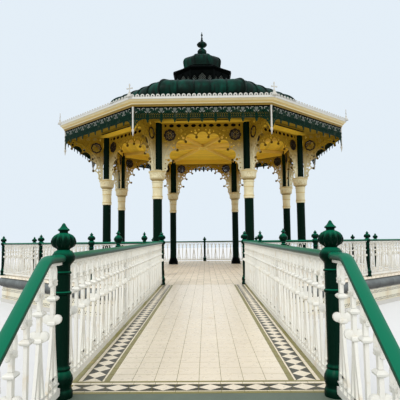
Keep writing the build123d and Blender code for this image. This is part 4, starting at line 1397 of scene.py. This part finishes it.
class BANDSTAND_OT_valance(bpy.types.Operator):
    """Hang the lace under the gutter"""

    bl_idname = "bandstand.valance"
    bl_label = "Valance"

    def execute(self, context):
        pitch = 2 * VALANCE_EDGE / VALANCE_UNITS
        half = pitch / 2
        unit, tips = valance_unit(half)
        rail = Shape().strip([(-half, 5.241), (half, 5.241)], 0.046, 0.02)
        pier_edge = [
            (-0.024, 5.22), (-0.024, 4.905), (-0.046, 4.888), (-0.052, 4.866), (-0.046, 4.842),
            (-0.026, 4.83), (-0.034, 4.806), (-0.026, 4.786), (-0.014, 4.772),
        ]
        pier = plate([mirrored(pier_edge, [(0.0, 4.745)])], 0.018, 0.003)
        fan = [(-0.018, 5.075), (-0.024, 5.11), (-0.05, 5.15), (-0.058, 5.19), (-0.046, 5.214)]
        palm = plate([mirrored(fan)], 0.022, 0.003)
        low = LATTICE[0]
        sweep = [
            (0.0, 4.57), (0.0, low), (-0.32, low), (-0.22, 4.855), (-0.13, 4.81), (-0.07, 4.73),
            (-0.035, 4.64),
        ]
        holes = circle((-0.08, 4.83), 0.022, 10), circle((-0.036, 4.755), 0.015, 8)
        corner_leaf = plate([sweep, *holes], 0.014)
        lace, cream, palms, rails = Shape(), Shape(), Shape(), Shape()
        for place in sides(BOARD_OUTER + 0.0085):
            numbers = range(1 - VALANCE_UNITS, VALANCE_UNITS)
            stops = [place @ spot(number * half, 0) for number in numbers]
            middles, joints = stops[::2], stops[1::2]
            lace.place(unit, *middles)
            cream.place(tips, *middles)
            rails.place(rail, *middles)
            lace.place(pier, *joints)
            palms.place(palm, *joints)
            lace.place(corner_leaf, place @ spot(VALANCE_EDGE, 0), place @ MIRROR @ spot(VALANCE_EDGE, 0))
        lace.piece("valance_lace", "lace green paint", "green_lace", "eaves_valance")
        # The pale tips along the tops of the scrolls and leaves are partly pale paint and partly painted
        # highlight.
        cream.piece("valance_tips_with_painted_highlight", "tip paint", "green_lace")
        # Painted shadow: the top rail of the valance is black, for the shadow under the gutter.
        rails.piece("valance_rail_in_painted_shadow", "black paint", "green_lace")
        palms.piece("valance_palms", "palm paint", "green_lace")
        return {"FINISHED"}


def mirrored(edge, tip=()):
    """An outline from its left edge and the points on its middle line."""
    return [*edge, *tip, *[(-x, y) for x, y in reversed(edge)]]


def valance_unit(half):
    """One unit of the lace between two piers, and the pale tips of its leaves, partly pale paint and partly
    painted highlight.
    """
    low, high = LATTICE
    unit, tips = Shape(), Shape()
    for level in (high, low + 0.022):
        unit.strip([(-half, level), (half, level)], 0.018, 0.044, MOULDED_BAR)
    unit.strip([(-half, low), (half, low)], 0.016, 0.02, MOULDED_BAR)
    leaf = [(0.14, 5.062), (0.125, 5.09), (0.1, 5.118), (0.06, 5.13), (0.03, 5.112), (0.012, 5.145)]
    unit.place(plate([mirrored(leaf, [(0.0, 5.16)])], 0.014, 0.002))
    for way in (1, -1):
        scroll = (way * 0.085, 5.163)
        unit.strip(arc(scroll, 0.046, 90 - way * 80, 90 + way * 150, 12), 0.026, 0.016, KNIFE_BAR)
        tips.strip(arc(scroll, 0.05, 90 - way * 35, 90 + way * 112, 10), 0.03, 0.022, KNIFE_BAR)
        stem = [(0.012, 5.07), (0.035, 5.11), (0.02, 5.16), (0.03, 5.2)]
        unit.strip([(way * x, y) for x, y in stem], 0.022, 0.014)
        unit.strip([(way * half, 5.075), (way * 0.15, 5.1), (way * 0.11, 5.085)], 0.024, 0.014, KNIFE_BAR)
        tips.strip([(way * 0.176, 5.066), (way * 0.128, 5.108)], 0.022, 0.02, KNIFE_BAR)
        unit.ring((way * 0.09, 5.155), 0.018, 0.022, 0.014, 8)
        unit.strip([(way * 0.148, 5.222), (way * 0.142, 5.17), (way * 0.15, 5.12)], 0.03, 0.014, KNIFE_BAR)
        for number in range(3):
            left, right = way * number * half / 3, way * (number + 1) * half / 3
            middle = (left + right) / 2
            unit.strip([(left, low), (right, high)], 0.017, 0.046)
            unit.strip([(left, high), (right, low)], 0.017, 0.044)
            unit.ring((middle, (low + high) / 2), 0.026, 0.02, 0.024, 8)
            for level in (low + 0.045, high - 0.04):
                unit.ring((middle, level), 0.014, 0.015, 0.026, 6)
    return unit, tips


class BANDSTAND_OT_dome(bpy.types.Operator):
    """Cover the dome with pillowed copper and rolls, and the low roof with lead"""

    bl_idname = "bandstand.dome"
    bl_label = "Dome"

    def execute(self, context):
        line = smooth_line(DOME_LINE, 4)
        face_line = [(radius * FLAT_SHARE, height) for radius, height in line]
        bounds = [-9.0, *[(number - 1.5) * ROLL_PITCH for number in range(4)], 9.0]
        sheets = Shape()
        for place in sides(0):
            for left, right in zip(bounds, bounds[1:]):
                copper_sheet(sheets, place, face_line, left, right)
        sheets.piece("copper_sheets", "copper sheet", "copper_patina", "dome_shell", sharp=60)
        rolls = Shape()
        hip = Shape().strip([(x - 0.03, y - 0.012) for x, y in line], 0.1, 0.07, ROUND_BAR)
        for side in range(SIDES):
            for number in range(4):
                shift = (number - 1.5) * ROLL_PITCH
                reach = [(x - 0.02, y - 0.008) for x, y in face_line if x * SIDE_SHARE > abs(shift) + 0.03]
                rolls.place(Shape().strip(reach, 0.075, 0.05, ROUND_BAR), profile_place(side, shift))
            rolls.place(hip, profile_place(side, corner=True))
        rolls.eight([(3.76, 5.9), (3.82, 5.915), (3.82, 5.95), (3.76, 5.97)])
        rolls.piece("copper_rolls", "copper roll", "copper_patina", "dome_rolls", sharp=50)
        repaint("low roof lead", "roof_apron")
        seams = Shape()
        top, bottom = LOW_ROOF
        hip = Shape().strip([(out / FLAT_SHARE, level) for out, level in LOW_ROOF], 0.045, 0.05, ROUND_BAR)
        for side in range(SIDES):
            for number in range(-3, 4):
                shift = number * 0.6
                start = max(top[0], abs(shift) / SIDE_SHARE + 0.02)
                level = bottom[1] + (bottom[0] - start) * (top[1] - bottom[1]) / (bottom[0] - top[0])
                seam = Shape().strip([(start, level), bottom], 0.03, 0.03, ROUND_BAR)
                seams.place(seam, profile_place(side, shift))
            seams.place(hip, profile_place(side, corner=True))
        seams.piece("lead_seams", "lead", "roof_boards")
        return {"FINISHED"}


def copper_sheet(shape, place, line, left, right):
    """Adds the copper on a face of the dome between two rolls, standing out in the middle."""
    across, sunk = 6, 0.035
    points = []
    for before, (apothem, height), after in zip([line[0], *line], line, [*line[1:], line[-1]]):
        normal = Vector((after[1] - before[1], before[0] - after[0])).normalized()
        half = apothem * SIDE_SHARE
        low, high = max(left, -half), min(right, half)
        wide = max(high - low, 0.0)
        for step in range(across + 1):
            share = step / across
            swell = sizes().pillow * min(1.0, wide / 0.3) * (1 - (2 * share - 1) ** 2) - sunk
            x = low + wide * share if wide else min(max(left, -half), half)
            points.append(place @ Vector((x, height + normal.y * swell, apothem + normal.x * swell)))
    faces = []
    for row in range(len(line) - 1):
        for step in range(across):
            start = row * (across + 1) + step
            faces.append((start, start + 1, start + across + 2, start + across + 1))
    shape.add(points, faces)


def lantern_lights():
    """The outlines of the three pointed lights on a side of the lantern."""
    lights = []
    for middle, width, height in ((-0.31, 0.18, 0.27), (0.0, 0.33, 0.36), (0.31, 0.18, 0.27)):
        sill = 7.51
        shoulder = sill + height * 0.55
        half = width / 2
        right = [(middle + half, sill), (middle + half, shoulder), (middle, sill + height)]
        lights.append([(middle - half, sill), *right, (middle - half, shoulder)])
    return lights


class BANDSTAND_OT_lantern(bpy.types.Operator):
    """Fit the lantern's lattice, its mouldings and its cushion cap"""

    bl_idname = "bandstand.lantern"
    bl_label = "Lantern"

    def execute(self, context):
        # The lantern's body and hood are black paint; under the hood's eaves the black also stands in for
        # their shade, as painted shade.
        repaint("black paint", "lantern_body", "lantern_hood")
        frame_bars, lattice = Shape(), Shape()
        for light in lantern_lights():
            frame_bars.strip(light, 0.03, 0.03, MOULDED_BAR, closed=True)
            middle = sum(x for x, _ in light) / len(light)
            for number in range(-8, 9):
                x = middle + number * 0.085
                for lean in (0.28, -0.28):
                    bar = clipped((x - lean, 7.46), (x + lean, 8.02), light)
                    if bar:
                        lattice.strip(bar, 0.01, 0.012)
        mouldings = Shape().place(frame_bars, *sides(LANTERN_APOTHEM))
        mouldings.place(Shape().lathe([(0.034, 7.4), (0.034, 8.03)], 10), *corners(1.195))
        mouldings.around([(1.1, 7.37), (1.17, 7.37), (1.17, 7.4), (1.145, 7.43), (1.125, 7.46), (1.1, 7.46)])
        mouldings.around([(1.1, 7.97), (1.13, 7.98), (1.15, 8.01), (1.185, 8.04), (1.1, 8.04)])
        eaves = 1.29 * FLAT_SHARE
        drip = [(-0.02, 8.035), (0.012, 8.04), (0.012, 8.06), (0.0, 8.07), (0.0, 8.1), (-0.02, 8.105)]
        mouldings.around([(eaves + out, height) for out, height in drip])
        mouldings.piece("lantern_mouldings", "black paint", "lantern_paint")
        lattices = Shape().place(lattice, *sides(LANTERN_APOTHEM - 0.012))
        lattices.piece("lantern_lattice", "palm paint", "lantern_paint")
        # Painted shade: a black lining just inside the lattice stands for the dark inside the lantern.
        shade_lining = Shape().around([(1.045, 7.42), (1.06, 7.42), (1.06, 8.04), (1.045, 8.04)])
        shade_lining.piece("lantern_painted_shade_linings", "black paint", "lantern_paint")
        roll = Shape().strip([(1.285, 8.1), (0.8, 8.33)], 0.04, 0.04, ROUND_BAR)
        Shape().place(roll, *hips()).piece("hood_rolls", "black paint", "lantern_paint")
        cap = smooth_line(CAP_LINE, 5)
        cushion = Shape().eight(cap)
        cushion.eight([(0.8, 8.325), (0.83, 8.335), (0.83, 8.36), (0.79, 8.375)])
        cushion.place(Shape().strip(cap, 0.05, 0.05, ROUND_BAR), *hips())
        cushion.piece("cap_cushion", "copper roll", "copper_patina", "lantern_cap", sharp=30)
        return {"FINISHED"}


class BANDSTAND_OT_finial(bpy.types.Operator):
    """Turn the finial on the cap"""

    bl_idname = "bandstand.finial"
    bl_label = "Finial"

    def execute(self, context):
        rows = [
            (0.15, 0.0), (0.165, 0.012), (0.165, 0.03), (0.15, 0.04), (0.185, 0.07, 0.05),
            (0.2, 0.11, 0.06), (0.2, 0.14, 0.06), (0.18, 0.19, 0.06), (0.135, 0.24, 0.05), (0.08, 0.275),
            (0.062, 0.3), (0.066, 0.312), (0.056, 0.325), (0.1, 0.342), (0.165, 0.372), (0.208, 0.42),
            (0.217, 0.45), (0.207, 0.485), (0.165, 0.53), (0.105, 0.565), (0.066, 0.6), (0.048, 0.65),
            (0.032, 0.71), (0.04, 0.725), (0.04, 0.738), (0.028, 0.75), (0.024, 0.84), (0.036, 0.855),
            (0.045, 0.88), (0.036, 0.905), (0.018, 0.93), (0.014, 0.98), (0.006, 1.018),
        ]
        turning = Shape().lathe(rows, 40, spot(0, 0, FLOOR + CAP_LINE[-1][1]), 10)
        turning.piece("finial_turning", "copper roll", "copper_patina", "finial")
        return {"FINISHED"}


# Railings


def railing_bar(plain, width):
    """One upright of the railings with the open arch over it, in the plane of the panel."""
    half = width / 2
    shape = Shape()
    if plain:
        shape.stack([(half * 0.85, 0.012, 0.1), (half * 0.85, 0.012, 0.78)])
    else:
        stem = [(half * 0.8, 0.012, 0.1), (half * 0.8, 0.012, 0.64), (half, 0.014, 0.66), (half, 0.014, 0.78)]
        shape.stack(stem)
        disc = [
            (0.02, -0.022), (0.034, -0.018), (0.036, -0.01), (0.036, 0.01), (0.034, 0.018), (0.02, 0.022),
        ]
        turned = Matrix.Rotation(math.pi / 2, 4, "Y")
        leg = [(0.016, 0.6), (0.036, 0.46), (0.068, 0.3), (0.098, 0.17), (0.094, 0.1)]
        for way in (1, -1):
            shape.strip([(way * x, y) for x, y in leg], 0.024, 0.022)
            shape.lathe(disc, 14, spot(0, 0.645, way * 0.034) @ turned)
            shape.ball((way * 0.06, 0.16), 0.022, 6, 3)
        shape.stack([(0.034, 0.024, 0.602), (0.04, 0.028, 0.61), (0.04, 0.028, 0.626), (0.034, 0.024, 0.634)])
        shape.stack([(0.092, 0.012, 0.2), (0.092, 0.012, 0.22)])
    cap = [
        (0.026, 0.02, 0.778), (0.042, 0.032, 0.788), (0.046, 0.036, 0.8), (0.04, 0.03, 0.81),
        (0.026, 0.02, 0.818),
    ]
    neck = [
        (0.02, 0.014, 0.82), (0.02, 0.014, 0.9), (0.034, 0.022, 0.915), (0.036, 0.024, 0.93),
        (0.02, 0.014, 0.94),
    ]
    shape.stack(cap).stack(neck)
    for way in (1, -1):
        shape.ball((way * 0.052, 0.9), 0.018, 8, 4)
    crown = arc((0, 0.99), 0.052, 180, 0, 10)[1:-1]
    loop = [(-0.052, 0.9), (-0.052, 0.985), *crown, (0.052, 0.985), (0.052, 0.9)]
    shape.strip(loop, 0.02, 0.024, MOULDED_BAR)
    shape.strip([(0, 0.93), (0, 1.0)], 0.014, 0.014, KNIFE_BAR)
    return shape.strip([(-0.016, 1.045), (0, 1.06), (0.016, 1.045)], 0.014, 0.016)


def railing_panel(start, end, slope=0.0):
    """A panel between two ends: its rails fall with a slope and its upright units step down."""
    s = sizes()
    shape = Shape()
    count = max(1, math.floor((end - start) / s.railing_pitch + 0.3))
    pitch = (end - start) / count
    bars = [railing_bar(plain, s.railing_bar) for plain in (False, True)]
    for number in range(count):
        middle = start + (number + 0.5) * pitch
        shape.place(bars[number % 2], spot(middle, -slope * middle))
        if number:
            joint = middle - pitch / 2
            shape.ring((joint, RAIL_UNDER - 0.043 - slope * joint), 0.017, 0.013, 0.02, 8)
    rails = (0.045, 0.1, 0.028), (0.13, 0.142, 0.018), (RAIL_UNDER - 0.022, RAIL_UNDER, 0.034)
    for low, high, deep in rails:
        middle = (low + high) / 2
        shape.strip([(start, middle - slope * start), (end, middle - slope * end)], high - low, deep)
    return shape


def bay_ends(side, seat):
    """Where the two bays on a side of the platform start and end, at a seat from their newels."""
    half = RAIL_APOTHEM * SIDE_SHARE
    inner = seat if side else BRIDGE_RAIL_X + seat
    return ((-half + seat, -inner), (inner, half - seat))


class BANDSTAND_OT_railings(bpy.types.Operator):
    """Set the white railings round the platform, along the bridge and down the steps"""

    bl_idname = "bandstand.railings"
    bl_label = "Railings"

    def execute(self, context):
        for side in range(SIDES):
            fence = Shape()
            for start, end in bay_ends(side, RAIL_SEAT):
                fence.place(railing_panel(start, end), side_place(RAIL_APOTHEM, side))
            name = f"platform_railing_{side + 1}"
            fence.piece(f"platform_fence_{side + 1}", "white paint", "white_paint", name)
        along_bridge = railing_panel(RAIL_SEAT, NEAR_POST - RAIL_APOTHEM - RAIL_SEAT)
        on_stair = Shape().place(railing_panel(NEAR_POST - STAIR_KNEE + RAIL_SEAT, 0.0))
        on_stair.place(railing_panel(0.0, STAIR_POST - STAIR_KNEE - RAIL_SEAT, STAIR_SLOPE))
        for name, x in (("left", -BRIDGE_RAIL_X), ("right", BRIDGE_RAIL_X)):
            fence = Shape().place(along_bridge, bridge_place(x, RAIL_APOTHEM, BRIDGE_SLOPE))
            fence.piece(f"bridge_fence_{name}", "white paint", "white_paint", f"bridge_railing_{name}")
            fence = Shape().place(on_stair, bridge_place(x, STAIR_KNEE))
            fence.piece(f"stair_fence_{name}", "white paint", "white_paint", f"stair_railing_{name}")
        return {"FINISHED"}


HANDRAIL_SIDE = [
    (1.062, 0.034), (1.072, 0.045), (1.088, 0.047), (1.104, 0.042), (1.115, 0.028), (1.12, 0.01),
]
HANDRAIL_SECTION = HANDRAIL_SIDE + [(y, -z) for y, z in reversed(HANDRAIL_SIDE)]


def handrail(*stations):
    """A handrail in a plane, through places along it, each with its drop."""
    return Shape().loft([[(x, y - drop, z) for y, z in HANDRAIL_SECTION] for x, drop in stations])


class BANDSTAND_OT_handrails(bpy.types.Operator):
    """Lay the rounded handrails on the railings"""

    bl_idname = "bandstand.handrails"
    bl_label = "Handrails"

    def execute(self, context):
        rails = Shape()
        for side in range(SIDES):
            for start, end in bay_ends(side, RAIL_SEAT):
                rails.place(handrail((start, 0), (end, 0)), side_place(RAIL_APOTHEM, side))
        rails.piece("platform_rail_tops", "handrail green paint", "newel_paint", "platform_handrails")
        rails = Shape()
        level = handrail((RAIL_SEAT, 0), (NEAR_POST - RAIL_APOTHEM - RAIL_SEAT, 0))
        foot = STAIR_POST - STAIR_KNEE - RAIL_SEAT
        bend = ((-0.06, 0.0), (0.0, 0.008), (0.06, 0.06 * STAIR_SLOPE))
        falling = handrail((NEAR_POST - STAIR_KNEE + RAIL_SEAT, 0.0), *bend, (foot, foot * STAIR_SLOPE))
        for x in (-BRIDGE_RAIL_X, BRIDGE_RAIL_X):
            rails.place(level, bridge_place(x, RAIL_APOTHEM, BRIDGE_SLOPE))
            rails.place(falling, bridge_place(x, STAIR_KNEE))
        rails.piece("bridge_rail_tops", "handrail green paint", "newel_paint", "bridge_handrails")
        return {"FINISHED"}


NEWEL_LOBES = 12
NEWEL_ROWS = [
    (0.088, 0.0), (0.088, 0.045), (0.08, 0.06), (0.074, 0.08), (0.084, 0.105), (0.089, 0.13), (0.084, 0.16),
    (0.07, 0.19), (0.06, 0.205), (0.067, 0.212), (0.067, 0.225), (0.058, 0.235), (0.057, 0.26),
]
NEWEL_HEAD = [
    (0.057, 0.79), (0.067, 0.798), (0.067, 0.814), (0.057, 0.822), (0.057, 0.955), (0.066, 0.962),
    (0.066, 0.972), (0.057, 0.98), (0.057, 1.02), (0.064, 1.035), (0.088, 1.062), (0.094, 1.08),
    (0.094, 1.098), (0.084, 1.118), (0.07, 1.138), (0.05, 1.15), (0.054, 1.158), (0.084, 1.176, 0.14),
    (0.099, 1.198, 0.24), (0.1, 1.218, 0.28), (0.091, 1.245, 0.28), (0.074, 1.266, 0.22), (0.05, 1.28, 0.1),
    (0.034, 1.286), (0.034, 1.298), (0.047, 1.306), (0.047, 1.313), (0.03, 1.328), (0.018, 1.345),
    (0.014, 1.355), (0.004, 1.366),
]
SLIM_POST = [
    (0.037, 0.0), (0.037, 0.04), (0.03, 0.05), (0.03, 0.74), (0.037, 0.75), (0.037, 0.77), (0.03, 0.78),
    (0.03, 1.05), (0.038, 1.058), (0.038, 1.125), (0.03, 1.13), (0.024, 1.138), (0.036, 1.148),
    (0.036, 1.156), (0.03, 1.162), (0.052, 1.182, 0.1), (0.065, 1.206, 0.14), (0.063, 1.226, 0.14),
    (0.048, 1.25, 0.1), (0.028, 1.266), (0.018, 1.276), (0.018, 1.284), (0.034, 1.293), (0.033, 1.299),
    (0.018, 1.312), (0.01, 1.328), (0.003, 1.345),
]


class BANDSTAND_OT_newels(bpy.types.Operator):
    """Stand the newels with their lobed heads, and the slim posts beside the bridge"""

    bl_idname = "bandstand.newels"
    bl_label = "Newels"

    def execute(self, context):
        ring = Shape()
        middles = [spot(*place.translation) for place in sides(RAIL_APOTHEM)[1:]]
        for place in corners(RAIL_APOTHEM / FLAT_SHARE) + middles:
            ring.lathe(NEWEL_ROWS + NEWEL_HEAD, 36, place, NEWEL_LOBES)
        ring.piece("ring_newels", "newel green paint", "newel_paint", "platform_newels", sharp=45)
        bridge = Shape()
        extra = deck_at(STAIR_KNEE) - STAIR_SLOPE * (STAIR_POST - STAIR_KNEE - RAIL_SEAT)
        for distance, height, more in (
            (RAIL_APOTHEM, FLOOR, 0.0),
            (NEAR_POST, deck_at(NEAR_POST - 0.08), 0.0),
            (STAIR_POST, 0.0, extra),
        ):
            rows = NEWEL_ROWS + [(radius, level + more, *lobe) for radius, level, *lobe in NEWEL_HEAD]
            for x in (-BRIDGE_RAIL_X, BRIDGE_RAIL_X):
                bridge.lathe(rows, 84, spot(x, -distance, height), NEWEL_LOBES)
        bridge.piece("bridge_newel_posts", "newel green paint", "newel_paint", "bridge_newels", sharp=45)
        slim = Shape()
        for bay in (1, 2):
            distance = RAIL_APOTHEM + bay * (NEAR_POST - RAIL_APOTHEM) / 3
            for x in (-SLIM_POST_X, SLIM_POST_X):
                slim.lathe(SLIM_POST, 20, spot(x, -distance, deck_at(distance - 0.038)), 10)
        slim.piece("slim_posts", "newel green paint", "newel_paint", "bridge_mid_posts", sharp=45)
        return {"FINISHED"}


class BANDSTAND_OT_studio(bpy.types.Operator):
    """Set the floor, the lights, the background and the camera"""

    bl_idname = "bandstand.studio"
    bl_label = "Studio"

    def execute(self, context):
        ground = Finish("studio floor", 0.9)
        ground.colour(ground.mix(ground.noise(0.3, 3.0), (0.80, 0.80, 0.79), (0.84, 0.84, 0.83)))
        mesh = bpy.data.meshes.new("studio_floor")
        work = bmesh.new()
        bmesh.ops.create_circle(work, cap_ends=True, segments=96, radius=120.0)
        work.to_mesh(mesh)
        work.free()
        mesh.materials.append(ground.material)
        floor = bpy.data.objects.new("studio_floor", mesh)
        context.scene.collection.objects.link(floor)

        world = bpy.data.worlds.new("studio")
        context.scene.world = world
        world.use_nodes = True
        nodes = Nodes(world.node_tree)
        daylight = nodes.tree.nodes["Background"]
        nodes.feed(daylight.inputs["Color"], (0.93, 0.96, 1.0))
        nodes.feed(daylight.inputs["Strength"], 0.75)
        sky = nodes.node("ShaderNodeBackground", {}, {"Color": (0.775, 0.86, 0.935)})
        seen = [nodes.node("ShaderNodeLightPath", output=f"Is {ray} Ray") for ray in ("Camera", "Glossy")]
        shaders = {0: seen[0].maths("MAXIMUM", *seen), 1: Flow(nodes, daylight.outputs[0]), 2: sky}
        choice = nodes.node("ShaderNodeMixShader", {}, shaders)
        nodes.feed(nodes.tree.nodes["World Output"].inputs["Surface"], choice)

        for name, energy, tilt, turn, spread in (("key", 1.45, 48, -35, 25), ("fill", 0.7, 60, 50, 40)):
            lamp = bpy.data.lights.new(name, "SUN")
            lamp.energy = energy
            lamp.angle = math.radians(spread)
            light = bpy.data.objects.new(name, lamp)
            light.rotation_euler = (math.radians(tilt), 0, math.radians(turn))
            context.scene.collection.objects.link(light)

        lens = bpy.data.cameras.new("camera")
        lens.lens = 41.379
        lens.sensor_width = 36.0
        lens.clip_end = 500.0
        camera = bpy.data.objects.new("camera", lens)
        yaw, pitch, roll = math.radians(-0.683), math.radians(5.109), math.radians(0.61)
        forward = Vector((math.sin(yaw) * math.cos(pitch), math.cos(yaw) * math.cos(pitch), math.sin(pitch)))
        right = Vector((math.cos(yaw), -math.sin(yaw), 0))
        up = right.cross(forward)
        level = right * math.cos(roll) - up * math.sin(roll)
        upright = right * math.sin(roll) + up * math.cos(roll)
        camera.matrix_world = axes(level, upright, -forward, (0.0747, -19.0161, 2.015))
        context.scene.collection.objects.link(camera)
        context.scene.camera = camera
        context.scene.view_settings.view_transform = "Standard"
        return {"FINISHED"}


STEPS = (
    BANDSTAND_OT_finishes,
    BANDSTAND_OT_platform,
    BANDSTAND_OT_tiles,
    BANDSTAND_OT_columns,
    BANDSTAND_OT_arches,
    BANDSTAND_OT_rosettes,
    BANDSTAND_OT_ceiling,
    BANDSTAND_OT_gutter,
    BANDSTAND_OT_valance,
    BANDSTAND_OT_dome,
    BANDSTAND_OT_lantern,
    BANDSTAND_OT_finial,
    BANDSTAND_OT_railings,
    BANDSTAND_OT_handrails,
    BANDSTAND_OT_newels,
    BANDSTAND_OT_studio,
)


class BANDSTAND_PT_panel(bpy.types.Panel):
    """The steps of the bandstand, its colours and its sizes"""

    bl_idname = "BANDSTAND_PT_panel"
    bl_label = "Bandstand"
    bl_space_type = "VIEW_3D"
    bl_region_type = "UI"
    bl_category = "Bandstand"

    def draw(self, context):
        for step in STEPS:
            self.layout.operator(step.bl_idname)
        for group in (context.scene.bandstand_colours, context.scene.bandstand_sizes):
            box = self.layout.box()
            for name in group.__annotations__:
                box.prop(group, name)


def register():
    """Registers the settings, the steps and the panel."""
    for item in (BandstandColours, BandstandSizes, *STEPS, BANDSTAND_PT_panel):
        bpy.utils.register_class(item)
    bpy.types.Scene.bandstand_colours = PointerProperty(type=BandstandColours)
    bpy.types.Scene.bandstand_sizes = PointerProperty(type=BandstandSizes)


def unregister():
    """Removes the settings, the steps and the panel."""
    del bpy.types.Scene.bandstand_sizes
    del bpy.types.Scene.bandstand_colours
    for item in reversed((BandstandColours, BandstandSizes, *STEPS, BANDSTAND_PT_panel)):
        bpy.utils.unregister_class(item)


def main():
    """Runs every step in order."""
    register()
    for step in STEPS:
        group, name = step.bl_idname.split(".")
        getattr(getattr(bpy.ops, group), name)()


if __name__ == "__main__":
    main()
